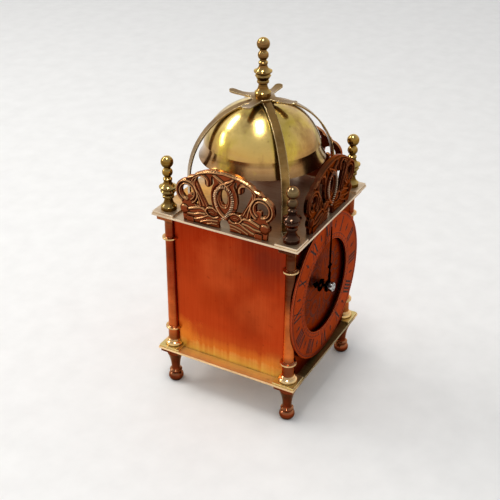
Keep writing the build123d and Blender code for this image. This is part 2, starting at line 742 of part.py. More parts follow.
ratchet_points = []
for tooth in range(ratchet_teeth):
    start = tooth * 360 / ratchet_teeth
    ratchet_points.append(polar((0, 0), ratchet_r, start))
    ratchet_points.append(polar((0, 0), ratchet_r - ratchet_depth, start + 0.15 * 360 / ratchet_teeth))
square_hole = Rectangle(key_square + 2 * running_gap, key_square + 2 * running_gap)
ratchet = make_face(Polyline(*ratchet_points, close=True)) - square_hole
pieces["ratchet_wheel"] = along_y(Pos(*barrel_at) * ratchet, ratchet_front_y, ratchet_back_y)

key_front_y = ratchet_back_y + 1.0
socket_end_y = square_end_y + 1.0
key_back_y = key_front_y + key_tube_length
key_tube = rod_y(barrel_at, key_tube_r, key_front_y, key_back_y)
key_tube -= along_y(Pos(*barrel_at) * square_hole, key_front_y - 1, socket_end_y)
wing = outline((0, 0), (0.26, 0), ((1.0, 0.17), (0.96, 0.74)), ((0.52, 1.0), (0, 0.70)))
wing -= Pos(0.61, 0.54) * Circle(0.21)      # drawn for a reach of one
wings = scale(wing + mirror(wing, Plane.YZ), by=key_wing_reach)
wings = along_z(Pos(barrel_at[0], key_back_y - 1.0) * wings, barrel_at[1] - key_wing_thickness / 2,
                barrel_at[1] + key_wing_thickness / 2)
pieces["winding_key"] = key_tube + wings

click_pivot = polar(barrel_at, ratchet_r + 4.2, 80)
click_nose = polar(barrel_at, ratchet_r + 0.12, 35)
click_r = 1.7
click_line = bearing(click_pivot, click_nose)
click = Pos(*click_pivot) * Circle(click_r) + make_face(Polyline(
    polar(click_pivot, click_r * 0.9, click_line + 90), click_nose,
    polar(click_pivot, click_r * 0.9, click_line - 90), close=True))
click -= Pos(*click_pivot) * Circle(0.9 + running_gap)
pieces["click"] = along_y(click, ratchet_front_y, ratchet_back_y)

click_spring_r = 8.0
spring_centre = polar(click_pivot, click_r + 0.1 + click_spring_r + 0.15, 100)
arc_band = Pos(*spring_centre) * (Circle(click_spring_r + 0.15) - Circle(click_spring_r - 0.15))
sector = outline((0, 0), polar((0, 0), 12, -85), polar((0, 0), 12, -30), polar((0, 0), 12, 0))
keep = Pos(*spring_centre) * sector
spring_end = polar(spring_centre, click_spring_r, 0)
click_spring = along_y(arc_band & keep, ratchet_front_y, ratchet_back_y)
click_spring += rod_y(spring_end, 1.0, movement_back_y, ratchet_back_y)
pieces["click_spring"] = click_spring


# ---- Escapement ---------------------------------------------------------------------------
def link(a, b, width):
    """A flat bar with round ends between two places."""
    span = hypot(b[0] - a[0], b[1] - a[1])
    middle = ((a[0] + b[0]) / 2, (a[1] + b[1]) / 2)
    return Pos(*middle) * Rot(0, 0, bearing(a, b)) * SlotCenterToCenter(span, width)


lever_y = escape_wheel_y - turning_gap - lever_thickness
pallet_arbor_r = 0.5


def pallet_lever():
    """A lever with two pallet pins that reach back to the escape wheel, and a fork at its far end."""
    line = bearing(escape_at, pallet_at)
    pins = [polar(escape_at, escape_r + pin_clear, line + side * pallet_spread) for side in (-1, 1)]
    fork_at = polar(pallet_at, lever_reach - roller_r - fork_clear, line)
    flat = link(pallet_at, fork_at, lever_width) + Pos(*pallet_at) * Circle(1.1) + Pos(*fork_at) * Circle(1.4)
    for pin in pins:
        flat += link(pallet_at, pin, lever_width)
    flat -= Pos(*balance_at) * Circle(roller_r + fork_clear)
    lever = along_y(flat, lever_y, lever_y + lever_thickness)
    for pin in pins:
        lever += rod_y(pin, pin_r, lever_y, escape_wheel_y + 0.8)
    return arbor(pallet_at, pallet_arbor_r) + lever


pieces["pallet_lever"] = pallet_lever()

cock_front_y = movement_back_y
cock_thickness = 1.4
cock_back_y = cock_front_y + cock_thickness
balance_y = lever_y - balance_lead
roller_y = lever_y + lever_thickness + turning_gap
balance = Circle(balance_r) - Circle(balance_r - balance_rim)
balance += Rectangle(2 * balance_r - balance_rim, 1.4) + Circle(1.8)
balance_wheel = along_y(Pos(*balance_at) * balance, balance_y, balance_y + 1.1)
balance_wheel += rod_y(balance_at, staff_r, bay_front_y + end_shake, cock_front_y - end_shake)
balance_wheel += rod_y(balance_at, pivot_r, movement_front_y, cock_back_y)
balance_wheel += rod_y(balance_at, roller_r, roller_y, roller_y + 0.7)
impulse_at = polar(balance_at, impulse_circle_r, bearing(balance_at, pallet_at))
balance_wheel += rod_y(impulse_at, pin_r, lever_y, roller_y)
pieces["balance_wheel"] = balance_wheel

hairspring_y = bay_back_y - 1.2
hairspring = spiral(hairspring_inner_r, hairspring_step, hairspring_half_turns, hairspring_strip)
pieces["hairspring"] = along_y(Pos(*balance_at) * hairspring, hairspring_y, hairspring_y + 0.6)

# The cock bridges the window behind the balance; its ear carries the hairspring's stud.
cock_foot_at = polar(balance_at, balance_window_r + 3.4, -90)
stud_at = polar(balance_at, hairspring_inner_r + hairspring_half_turns * hairspring_step, 180)
cock = link(balance_at, cock_foot_at, 4.4) + link(balance_at, stud_at, 1.8) + Pos(*balance_at) * Circle(3.0)
cock -= Pos(*balance_at) * Circle(pivot_r + running_gap)
balance_cock = along_y(cock, cock_front_y, cock_back_y)
balance_cock += rod_y(stud_at, 0.4, hairspring_y + 0.6, cock_front_y)
balance_cock += rod_y(cock_foot_at, 1.2, cock_back_y, cock_back_y + 0.8)
pieces["balance_cock"] = balance_cock

regulator = Circle(2.4) + Pos(-4.6, 0) * Rectangle(5.2, 0.9) - Circle(1.2)
pieces["regulator"] = along_y(Pos(*balance_at) * regulator, cock_back_y, cock_back_y + 0.5)


# ---- Movement plates, pillars, posts ------------------------------------------------------
def movement_sheet():
    height = movement_below + movement_above
    sheet = Pos(0, dial_z + (movement_above - movement_below) / 2) * RectangleRounded(
        2 * movement_half_width, height, 3)
    for place in pillar_places:
        sheet -= Pos(*place) * Circle(pillar_stem_r + running_gap)
    for place in (intermediate_at, third_at, fourth_at, escape_at, pallet_at):
        sheet -= Pos(*place) * Circle(pivot_r + running_gap)
    return sheet - Pos(*barrel_at) * Circle(journal_r + running_gap)


front_movement = movement_sheet() - Pos(*centre_at) * Circle(hand_arbor_r + running_gap)
front_movement -= Pos(*balance_at) * Circle(pivot_r + running_gap)
minute_post_tip_y = front_plate_y + front_plate_thickness + 0.4
front_movement = along_y(front_movement, movement_front_y, bay_front_y)
front_movement += rod_y(minute_at, 0.7, minute_post_tip_y, movement_front_y)
pieces["movement_front_plate"] = front_movement

back_movement = movement_sheet() - Pos(*centre_at) * Circle(pivot_r + running_gap)
back_movement -= Pos(*balance_at) * Circle(balance_window_r)
back_movement = along_y(back_movement, bay_back_y, movement_back_y)
back_movement += rod_y(click_pivot, 0.9, movement_back_y, ratchet_back_y)
back_movement += rod_y(click_pivot, 1.4, ratchet_back_y + running_gap, ratchet_back_y + 0.7)
back_movement += rod_y(click_pivot, 0.9, ratchet_back_y, ratchet_back_y + running_gap)
pieces["movement_back_plate"] = back_movement

pillars = []
posts = []
pillar_nuts = []
post_back_y = movement_front_y
post_front_y = front_plate_y + front_plate_thickness
for place in pillar_places:
    pillar = rod_y(place, pillar_r, bay_front_y, bay_back_y)
    pillar += rod_y(place, pillar_stem_r, post_back_y - 3.0, movement_back_y + 2.0)
    pillars.append(pillar)
    posts.append(rod_y(place, pillar_r, post_front_y, post_back_y)
                 - rod_y(place, pillar_stem_r + running_gap, post_back_y - 3.3, post_back_y))
    nut = Pos(*place) * (RegularPolygon(2.2, 6) - Circle(pillar_stem_r + running_gap))
    pillar_nuts.append(along_y(nut, movement_back_y, movement_back_y + 1.6))
pieces["movement_pillars"] = Compound(children=pillars)
pieces["dial_posts"] = Compound(children=posts)
pieces["pillar_nuts"] = Compound(children=pillar_nuts)


# ---- Motion work and hands ----------------------------------------------------------------
hour_hand_front_y = ring_front_y - hour_hand_clear - hand_thickness
hour_hand_back_y = hour_hand_front_y + hand_thickness
minute_hand_back_y = hour_hand_front_y - hand_spacing + hand_thickness
minute_hand_front_y = minute_hand_back_y - hand_thickness
cannon_r = 1.45
hour_pipe_r = 2.3
cannon_y = movement_front_y - 0.4
minute_wheel_y = cannon_y - 1.5
hour_wheel_y = minute_wheel_y - 1.6

cannon = gear(cannon_teeth, cannon_module, bearing(centre_at, minute_at))
cannon_pinion = along_y(Pos(*centre_at) * cannon, minute_wheel_y - 0.2, cannon_y)
cannon_pinion += rod_y(centre_at, cannon_r, minute_hand_back_y, cannon_y)
cannon_pinion -= rod_y(centre_at, hand_arbor_r + running_gap, centre_front_y - 0.4, cannon_y)
cannon_pinion += rod_y(centre_at, 1.0, minute_hand_front_y - nut_height, minute_hand_back_y)
pieces["cannon_pinion"] = cannon_pinion

minute_disc = wheel(minute_teeth, cannon_module, gap_aim(minute_at, centre_at, minute_teeth))
minute_wheel = along_y(Pos(*minute_at) * minute_disc, minute_wheel_y, minute_wheel_y + wheel_thickness)
minute_pinion = Pos(*minute_at) * gear(minute_leaves, hour_module, bearing(minute_at, centre_at))
minute_wheel += along_y(minute_pinion, hour_wheel_y - 0.3, minute_wheel_y)
minute_wheel -= rod_y(minute_at, 0.7 + running_gap, hour_wheel_y - 1, minute_wheel_y + 2)
pieces["minute_wheel"] = minute_wheel

hour_disc = gear(hour_teeth, hour_module, gap_aim(centre_at, minute_at, hour_teeth))
hour_disc = spoked(hour_disc, hour_teeth * hour_module / 2 - 1.7, 3.0)
hour_wheel = along_y(Pos(*centre_at) * hour_disc, hour_wheel_y, hour_wheel_y + wheel_thickness)
hour_wheel += rod_y(centre_at, hour_pipe_r, hour_hand_front_y, hour_wheel_y + wheel_thickness)
hour_wheel -= rod_y(centre_at, cannon_r + running_gap, hour_hand_front_y - 1, hour_wheel_y + 2)
pieces["hour_wheel"] = hour_wheel


def minute_hand():
    """A slim pointer with a small cross and a swelling near its root."""
    reach = minute_hand_length
    half = outline((0, 1.5), (1.2, 3.0), (1.5, 7.5), (0.7, 9.2), (0.7, 11.4), (2.1, 12.4), (2.1, 13.2),
                   (0.8, 14.2), (0.75, 22.0), (0.3, reach - 0.8), (0, reach))
    hand = half + mirror(half, Plane.YZ) + Circle(2.9)
    return hand - Circle(1.0)


def hour_hand():
    """A shorter hand with a pierced heart-shaped loop."""
    reach = hour_hand_length
    half = outline((0, 1.5), (1.0, 3.2), (0.9, 7.0), ((3.6, 10.4), (1.0, 14.0)), (0.9, 16.0), (1.9, 17.2),
                   (0, reach))
    hand = half + mirror(half, Plane.YZ) + Circle(3.6)
    hand -= Pos(0, 10.6) * Ellipse(1.2, 2.2)
    return hand - Circle(hour_pipe_r)


hand_angle = 60.0           # ten o'clock, turned left from twelve
pieces["minute_hand"] = along_y(Pos(0, dial_z) * minute_hand(), minute_hand_front_y, minute_hand_back_y)
pieces["hour_hand"] = along_y(Pos(0, dial_z) * Rot(0, 0, hand_angle) * hour_hand(), hour_hand_front_y,
                              hour_hand_back_y)
nut_sketch = RegularPolygon(nut_r, 6) - Circle(1.0)
hand_nut = along_y(Pos(0, dial_z) * nut_sketch, minute_hand_front_y - nut_height, minute_hand_front_y)
pieces["hand_nut"] = hand_nut


# ---- Back door ----------------------------------------------------------------------------
def back_door():
    """A sheet on two pivot pins that turn in the base and top plates."""
    low = plinth_top_z + turning_gap
    high = roof_bottom_z - turning_gap
    sheet = Pos(0, (low + high) / 2) * Rectangle(2 * door_half_width, high - low)
    sheet -= Pos(latch_x, latch_z) * Circle(1.0 + running_gap)
    door = along_y(sheet, door_front_y, door_back_y)
    middle = (door_front_y + door_back_y) / 2
    knuckle_r = door_thickness / 2 + 0.5
    for start, end in ((base_bottom_z, low), (high, roof_top_z)):
        door += Pos(hinge_x, middle) * along_z(Circle(hinge_pin_r), start, end)
    for start in (low, high - 6.0):
        door += Pos(hinge_x, middle) * along_z(Circle(knuckle_r), start, start + 6.0)
    return door


pieces["back_door"] = back_door()

latch_at = (latch_x, latch_z)
latch = rod_y(latch_at, 1.0, tongue_front_y, door_back_y + 2.0)
latch += rod_y(latch_at, 1.9, tongue_front_y, door_front_y - 0.1)
latch += rod_y(latch_at, 1.6, door_back_y + 0.1, door_back_y + 2.0)
latch += rod_y(latch_at, latch_knob_r, door_back_y + 2.0, door_back_y + 4.6)
tongue = Pos(latch_x + latch_reach / 2, latch_z) * Rectangle(latch_reach, latch_tongue_width)
latch += along_y(tongue, tongue_front_y, tongue_back_y)
pieces["door_latch"] = latch


# ---- Write the pieces ---------------------------------------------------------------------
os.makedirs("parts", exist_ok=True)
for name, piece in pieces.items():
    export_step(piece, "parts/" + name + ".step")
print(len(pieces), "nodes written")
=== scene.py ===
# %% [markdown]
# # A small lantern clock
# A lantern clock is a square brass cage: four turned columns between two plates, a bell under two crossed
# straps, and pierced frets that hide the gap below the bell. The solid model gives every piece its size and
# place. This lesson adds what a maker does last: carving, engraving, polish, and the tarnish of some
# decades. Pieces of the frame are only given a finish, and new pieces are fitted on them, in metres, in the
# same frame.

# %% Load the frame
import math

import bmesh
import bpy
import numpy as np
from mathutils import Matrix, Vector, geometry


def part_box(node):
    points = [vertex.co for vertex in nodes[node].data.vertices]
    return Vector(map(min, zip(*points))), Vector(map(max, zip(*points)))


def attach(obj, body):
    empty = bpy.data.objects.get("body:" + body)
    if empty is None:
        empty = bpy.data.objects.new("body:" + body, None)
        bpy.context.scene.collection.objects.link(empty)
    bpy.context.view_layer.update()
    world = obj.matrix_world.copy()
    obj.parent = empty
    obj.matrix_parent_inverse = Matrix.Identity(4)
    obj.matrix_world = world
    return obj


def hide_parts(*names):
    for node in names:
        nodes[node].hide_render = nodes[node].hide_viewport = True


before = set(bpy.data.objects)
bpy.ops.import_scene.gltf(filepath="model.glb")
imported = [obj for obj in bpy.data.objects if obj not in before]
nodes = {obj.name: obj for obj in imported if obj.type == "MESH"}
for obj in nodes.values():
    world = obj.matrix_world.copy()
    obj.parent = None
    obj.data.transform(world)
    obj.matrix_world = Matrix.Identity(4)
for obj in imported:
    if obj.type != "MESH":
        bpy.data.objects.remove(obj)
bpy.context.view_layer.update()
MM = 0.001

ring_low, ring_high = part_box("chapter_ring")
roof_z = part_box("bell_hoop_upper")[0][2]
dial_z = (ring_low[2] + ring_high[2]) / 2
ring_face = ring_low[1]
sheet_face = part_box("front_plate")[0][1]
print(len(nodes), "nodes; the dial's centre is", round(dial_z / MM, 2), "mm up")


# %% [markdown]
# ## Tools for materials
# Old brass is never one colour, so every finish here is a small tree of nodes that mixes several. The
# colours could be painted on images. Worked out from the place on the object instead, they fit every piece
# at any distance. These helpers make the few kinds of node that all the trees need.

# %% Tools for materials
def colour(red, green, blue):
    """A colour given as it looks on a screen, 0 to 255."""
    linear = []
    for part in (red, green, blue):
        part /= 255
        linear.append(part / 12.92 if part <= 0.04045 else ((part + 0.055) / 1.055) ** 2.4)
    return (*linear, 1.0)


def add(tree, kind, inputs=None, **settings):
    """A node with its settings, and its inputs set to values or linked to sockets."""
    made = tree.nodes.new(kind)
    for key, value in settings.items():
        setattr(made, key, value)
    for key, value in (inputs or {}).items():
        if isinstance(value, bpy.types.NodeSocket):
            tree.links.new(value, made.inputs[key])
        else:
            made.inputs[key].default_value = value
    return made


def maths(tree, operation, *values):
    """A number worked out from numbers or sockets."""
    return add(tree, "ShaderNodeMath", dict(enumerate(values)), operation=operation).outputs[0]


def measure(tree, operation, *vectors):
    """A number worked out from vectors, such as the distance between two places."""
    return add(tree, "ShaderNodeVectorMath", dict(enumerate(vectors)), operation=operation).outputs["Value"]


def axes(tree, vector):
    """The X, Y and Z of a vector."""
    return add(tree, "ShaderNodeSeparateXYZ", {"Vector": vector}).outputs


def combine(tree, **parts):
    """A vector made of its X, Y and Z."""
    return add(tree, "ShaderNodeCombineXYZ", parts).outputs["Vector"]


def stretch(tree, place, scale):
    """A place scaled along each axis: a pattern is drawn out where the scale is small."""
    return add(tree, "ShaderNodeMapping", {"Vector": place, "Scale": scale}).outputs["Vector"]


def blend(tree, factor, first, second):
    """The colour between two colours."""
    return add(tree, "ShaderNodeMix", {0: factor, 6: first, 7: second}, data_type="RGBA").outputs[2]


def spread(tree, value, low, high, to_low=0.0, to_high=1.0):
    """A value stretched from one range to another."""
    inputs = {"Value": value, "From Min": low, "From Max": high, "To Min": to_low, "To Max": to_high}
    return add(tree, "ShaderNodeMapRange", inputs).outputs["Result"]


def noise(tree, place, scale, detail=4.0, roughness=0.55):
    """Soft clouds from 0 to 1, finer where the scale is larger."""
    inputs = {"Vector": place, "Scale": scale, "Detail": detail, "Roughness": roughness}
    return add(tree, "ShaderNodeTexNoise", inputs).outputs["Fac"]


def new_tree(name):
    material = bpy.data.materials.new(name)
    material.use_nodes = True
    material.node_tree.nodes.clear()
    return material, material.node_tree


def object_place(tree):
    """The place on the object, in metres."""
    return add(tree, "ShaderNodeTexCoord").outputs["Object"]


def surface(tree, inputs):
    """Ends a tree with its shader."""
    shader = add(tree, "ShaderNodeBsdfPrincipled", inputs)
    add(tree, "ShaderNodeOutputMaterial", {"Surface": shader.outputs["BSDF"]})


def by_height(tree, place, clouds, levels):
    """Colours at heights in mm, with a border that wanders by up to 6 mm."""
    height = maths(tree, "ADD", axes(tree, place)["Z"], spread(tree, clouds, 0.0, 1.0, -6 * MM, 6 * MM))
    bottom, top = levels[0][0] * MM, levels[-1][0] * MM
    ramp = add(tree, "ShaderNodeValToRGB", {"Fac": spread(tree, height, bottom, top)})
    stops = ramp.color_ramp.elements
    stops[0].color, stops[1].color = levels[0][1], levels[-1][1]
    for level, shade in levels[1:-1]:
        stops.new((level * MM - bottom) / (top - bottom)).color = shade
    return ramp.outputs["Color"]


print("red copper is", [round(part, 3) for part in colour(184, 62, 22)], "in the renderer's own numbers")


# %% [markdown]
# ## Aged metal
# All the clock's metals age in the same ways, so one recipe serves them. Lacquer fails in clouds. Tool
# marks and specks hold dirt. Corners are painted darker, as shade that also stands for dirt. Edges are
# rubbed bright, faces that look up are painted brighter as if lit from above, and undersides are painted
# darker as shade. The recipe lays these over the metal one after the other, as thin coats, and a finish is
# then only a list of how strong each coat is. Bevel and ambient occlusion nodes find the edges and the
# corners, so nothing has to be marked by hand on the pieces.

# %% Aged metal
CORNER_REACH = 3 * MM       # how far from a corner its painted shade and dirt spread


def metal(name, dark, body, bright, rough=(0.18, 0.38), grain=(1.0, 1.0, 1.0), grain_scale=900.0,
          depth=0.012, streaks=0.14, cloud=55.0, tarnish=(0.42, 0.70), recess=0.75, wear=0.6, edge=0.12,
          sky=0.0, under=0.0, raised_by=None, graze=(1.0, 1.0, 1.0, 1.0), spun=0.0):
    """Aged metal. dark fills the corners as painted shade and dirt, body is the broad colour, and bright
    shows wear and painted highlights.

    body is a colour, a list of heights and colours, or a function that makes a colour in the tree. grain
    stretches the tool marks along an axis. sky and under say how much brighter the faces that look up are
    painted, as if lit from above, and how much darker the undersides are painted, as shade. raised_by names a
    number kept on the points, 0 in the ground of a carving, painted as shade and dirt, and 1 on its ridges,
    painted as highlight and wear. graze tints what is mirrored at a low angle, where bare metal would turn
    white and lacquered copper stays red. spun draws the shine out along the axis of turned work, across the
    rings of the lathe."""
    material, tree = new_tree(name)
    place = object_place(tree)
    clouds = noise(tree, place, cloud, 6.0, 0.62)
    marks = noise(tree, stretch(tree, place, grain), grain_scale, 3.0, 0.6)
    specks = noise(tree, place, cloud * 14, 2.0, 0.5)
    flat = add(tree, "ShaderNodeNewGeometry").outputs["Normal"]
    round_edge = add(tree, "ShaderNodeBevel", {"Radius": edge * MM}, samples=4).outputs["Normal"]
    open_air = add(tree, "ShaderNodeAmbientOcclusion", {"Distance": CORNER_REACH}, samples=4).outputs["AO"]
    if callable(body):
        body = body(tree, place, clouds)
    elif isinstance(body, list):
        body = by_height(tree, place, clouds, body)

    # Each coat: what it follows, where that is bare and where it is full, how strong it is, and its shade.
    coats = [(marks, 0.35, 0.75, streaks, bright), (marks, 0.55, 0.25, streaks, dark),
             (specks, 0.68, 0.80, 0.4, dark)]
    # Painted light: faces that look up are painted brighter, and undersides darker as painted shade.
    if sky or under:
        tilt = axes(tree, flat)["Z"]
        coats += [(tilt, 0.35, 0.85, sky, bright), (tilt, 0.10, -0.50, under, dark)]
    # Painted light on a carving: shade and dirt in its ground, highlight and wear on its ridges.
    if raised_by:
        carved = add(tree, "ShaderNodeAttribute", attribute_name=raised_by).outputs["Fac"]
        coats += [(carved, 0.50, 0.05, 0.95, dark), (carved, 0.78, 1.0, 0.62, bright)]
    # Edges are worn bright. Corners found by ambient occlusion are painted darker, as shade and dirt.
    same = measure(tree, "DOT_PRODUCT", round_edge, flat)
    coats += [(same, 0.995, 0.86, wear, bright), (open_air, 0.70, 0.15, recess, dark)]
    tone = blend(tree, spread(tree, clouds, *tarnish), body, blend(tree, 0.5, body, dark))
    for follows, bare, full, strength, shade in coats:
        tone = blend(tree, spread(tree, follows, bare, full, 0.0, strength), tone, shade)

    dirt = spread(tree, open_air, 0.70, 0.15, 0.0, recess)
    finish = maths(tree, "MULTIPLY_ADD", dirt, 0.25, spread(tree, clouds, 0.25, 0.75, *rough))
    raised = add(tree, "ShaderNodeBump", {"Height": marks, "Normal": round_edge, "Strength": 0.5,
                                          "Distance": depth * MM}).outputs["Normal"]
    surface(tree, {"Base Color": tone, "Metallic": 1.0, "Roughness": finish, "Specular Tint": graze,
                   "Normal": raised, "Anisotropic": spun, "Anisotropic Rotation": 0.25})
    return material


def paint(material, *names):
    """Gives CAD nodes a finish."""
    for name in names:
        slots = nodes[name].data.materials
        slots.clear()
        slots.append(material)


RED_EDGE = (1.0, 0.55, 0.45, 1.0)
BROWN_EDGE = (1.0, 0.80, 0.62, 1.0)
GOLD_EDGE = (1.0, 0.86, 0.58, 1.0)
print("edge tints for copper, bronze and gilt:", RED_EDGE[:3], BROWN_EDGE[:3], GOLD_EDGE[:3])


# %% [markdown]
# ## Copper-red sheets
# The sides, the door and the dial are thin sheets that have gone copper-red under their lacquer. The sides
# were brushed upright, so fine streaks run down them. A golden glow is painted along the lower edge and into
# the lower corners, as painted light, and they are darker and browner towards the top. A few soft patches
# break the sheet up further.
# Every sheet has patches of its own, because the same ones on all sides would show that they are copies.

# %% Copper-red sheets
def patch(tree, body, flat, centre, radius, wander, core, amount, shade):
    """Lays a soft round patch on a body colour: its centre and radius in mm, and the share that is full."""
    away = maths(tree, "ADD", measure(tree, "DISTANCE", flat, (centre[0] * MM, centre[1] * MM, 0.0)), wander)
    return blend(tree, spread(tree, away, radius * MM, radius * MM * core, 0.0, amount), body, shade)


SHEET_LEVELS = [(30, colour(196, 84, 30)), (45, colour(184, 62, 22)), (72, colour(180, 60, 22)),
                (92, colour(162, 44, 12)), (110, colour(138, 35, 9))]
# Painted glow along the lower edge: height where it is bare and where it is full, in mm, strength and colour.
PAINTED_LOWER_GLOW = [(37.0, 24.5, 0.90, colour(246, 150, 54)), (31.0, 24.0, 0.95, colour(255, 226, 128))]


def sheet_colour(patches, across):
    """Makes the body of an upright sheet. across is the axis that runs along it.

    patches are soft spots: their place across and up in mm, their radius, their strength and their shade."""
    def made(tree, place, clouds):
        body = by_height(tree, place, clouds, SHEET_LEVELS)
        parts = axes(tree, place)
        flat = combine(tree, X=parts[across], Y=parts["Z"])
        ragged = noise(tree, place, 90.0, 4.0)
        for centre, radius, amount, shade in patches:
            reach = 0.25 * radius * MM
            wander = spread(tree, ragged, 0.3, 0.7, -reach, reach)
            body = patch(tree, body, flat, centre, radius, wander, 0.2, amount, shade)
        brushed = noise(tree, stretch(tree, place, (1.0, 1.0, 0.02)), 420.0, 3.0)
        height = maths(tree, "ADD", parts["Z"], spread(tree, brushed, 0.3, 0.7, -1.6 * MM, 1.6 * MM))
        # Painted light: a golden glow along the lower edge, with a streaky, wandering border.
        for bare, full, amount, shade in PAINTED_LOWER_GLOW:
            body = blend(tree, spread(tree, height, bare * MM, full * MM, 0.0, amount), body, shade)
        smoke = spread(tree, noise(tree, place, 22.0, 3.0), 0.50, 0.72, 0.0, 0.40)
        return blend(tree, smoke, body, colour(118, 34, 12))
    return made


glow, corner_glow, darker_above = colour(206, 92, 44), colour(236, 132, 42), colour(92, 34, 24)
# Soft patches. The golden ones low in the corners are painted glow; the others are tone.
PATCHES = {
    "left": [((4, 84), 20, 0.40, glow), ((-18, 62), 16, 0.35, glow), ((10, 62), 13, 0.35, colour(150, 44, 8)),
             ((-23, 95), 19, 0.62, darker_above), ((34, 30), 17, 0.80, corner_glow),
             ((-31, 27), 13, 0.75, colour(226, 150, 64))],
    "right": [((-8, 78), 22, 0.40, glow), ((20, 60), 15, 0.35, glow), ((26, 98), 15, 0.60, darker_above),
              ((-33, 30), 15, 0.60, corner_glow)],
    "door": [((6, 74), 22, 0.40, glow), ((-14, 52), 13, 0.30, glow), ((-20, 101), 13, 0.55, darker_above),
             ((24, 28), 12, 0.60, corner_glow)]}
sheet_metal = {}
for side, patches in PATCHES.items():
    sheet_metal[side] = metal(
        "brushed copper " + side, colour(92, 24, 8), sheet_colour(patches, "X" if side == "door" else "Y"),
        colour(222, 116, 62), rough=(0.24, 0.40), grain=(1.0, 1.0, 0.03), grain_scale=1400, depth=0.010,
        streaks=0.07, cloud=26, tarnish=(0.50, 0.85), recess=0.4, edge=0.2, graze=RED_EDGE)

DIAL_WORK = {"grain": (0.4, 1.0, 1.0), "depth": 0.006, "cloud": 60, "recess": 0.6, "graze": RED_EDGE}
ring_copper = metal("chapter ring copper", colour(64, 16, 8), colour(146, 48, 25), colour(232, 138, 82),
                    rough=(0.24, 0.38), streaks=0.06, tarnish=(0.42, 0.75), edge=0.25, wear=0.85, **DIAL_WORK)
dial_copper = metal("dial centre copper", colour(34, 6, 3), colour(88, 17, 7), colour(140, 48, 22),
                    rough=(0.26, 0.40), streaks=0.10, tarnish=(0.45, 0.80), **DIAL_WORK)
print("sheets:", {side: len(patches) for side, patches in PATCHES.items()}, "patches")


# %% [markdown]
# ## Turned columns, finials and feet
# The columns, finials and feet came off a lathe, so their marks run round them and their shine is drawn out
# along the axis. Below the capitals, the rings and the column's foot are painted gold as highlights, the
# outer side of a column gets a faint painted highlight, and the side that looks into the case is painted in
# shade. The column and finial nearest the dial's left are darker copies of their finishes, painted in shade.
# Rings could be marked by hand, but they are simply what stands further from the column's axis than its
# shaft does.

# %% Turned columns, finials and feet
post_low, post_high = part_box("column_back_right")
POST_AXIS = (post_low[0] + post_high[0]) / 2
RING_FROM, RING_TO = 3.4 * MM, 4.0 * MM             # from the axis: where a ring stands out of the shaft
CAPITAL_FROM, CAPITAL_TO = 102 * MM, 100 * MM       # height under which the rings are painted gold and the outer side lit
LIT_SIDE_FROM, LIT_SIDE_TO = 1.4 * MM, 2.8 * MM           # from the axis outward: the side with a painted highlight
SHADED_SIDE_FROM, SHADED_SIDE_TO = 0.6 * MM, -2.2 * MM          # and the side that looks into the case, painted in shade


def post_colour(levels, rubbed_and_lit, shade):
    """Makes a column's body: colours by height, with painted highlight on rings, foot and outer side, shade
    inside.
    """
    def made(tree, place, clouds):
        body = by_height(tree, place, clouds, levels)
        parts = axes(tree, place)
        off = {way: maths(tree, "SUBTRACT", maths(tree, "ABSOLUTE", parts[way]), POST_AXIS) for way in "XY"}
        flat = combine(tree, **off)
        proud = spread(tree, measure(tree, "LENGTH", flat), RING_FROM, RING_TO)
        below = spread(tree, parts["Z"], CAPITAL_FROM, CAPITAL_TO)
        # Painted light: a faint highlight on the side that faces out, and shade on the side that faces into
        # the case.
        outward = measure(tree, "DOT_PRODUCT", flat, (0.707, 0.707, 0.0))
        polished = maths(tree, "MULTIPLY", below, spread(tree, outward, LIT_SIDE_FROM, LIT_SIDE_TO, 0.0, 0.50))
        body = blend(tree, polished, body, blend(tree, 0.10, body, rubbed_and_lit))
        body = blend(tree, spread(tree, outward, SHADED_SIDE_FROM, SHADED_SIDE_TO, 0.0, 0.70), body, shade)
        # Painted highlight: below the capital, the rings and the foot are gold.
        return blend(tree, maths(tree, "MULTIPLY", proud, below), body, rubbed_and_lit)
    return made


ROUND = (0.06, 0.06, 1.0)
COLUMN = {"grain": ROUND, "grain_scale": 1500, "depth": 0.002, "streaks": 0.03, "recess": 0.9,
          "rough": (0.16, 0.26), "sky": 0.6, "under": 0.7}
FINIAL = {"grain": ROUND, "grain_scale": 1500, "depth": 0.003, "streaks": 0.05, "cloud": 110, "recess": 0.95,
          "rough": (0.10, 0.18), "spun": 0.3}
post_brass = metal(
    "turned brass", colour(46, 14, 5), post_colour(
        [(26, colour(186, 118, 50)), (31, colour(160, 84, 36)), (36, colour(214, 104, 46)),
         (54, colour(206, 92, 40)), (66, colour(172, 62, 26)), (98, colour(146, 48, 20)),
         (109, colour(170, 96, 50))],
        colour(232, 192, 128), colour(70, 20, 8)),
    colour(250, 208, 150), cloud=70, graze=BROWN_EDGE, spun=0.85, **COLUMN)
# A darker copy for the column nearest the dial's left, as painted shade.
shaded_post_brass = metal(
    "dark turned brass", colour(36, 12, 5), post_colour(
        [(26, colour(196, 136, 60)), (30, colour(124, 50, 20)), (37, colour(132, 54, 22)),
         (41, colour(224, 112, 44)), (64, colour(208, 98, 40)), (78, colour(92, 32, 13)),
         (109, colour(70, 24, 8))],
        colour(232, 196, 140), colour(48, 14, 7)),
    colour(250, 214, 160), cloud=60, graze=RED_EDGE, spun=0.6, **COLUMN)
gilt = metal(
    "finial brass", colour(38, 18, 5),
    [(111, colour(92, 62, 14)), (122, colour(112, 78, 26)), (134, colour(146, 108, 42)),
     (166, colour(140, 100, 44)), (184, colour(124, 84, 42)), (200, colour(172, 126, 74))],
    colour(255, 220, 140), tarnish=(0.40, 0.60), sky=0.45, under=0.95, graze=GOLD_EDGE, **FINIAL)
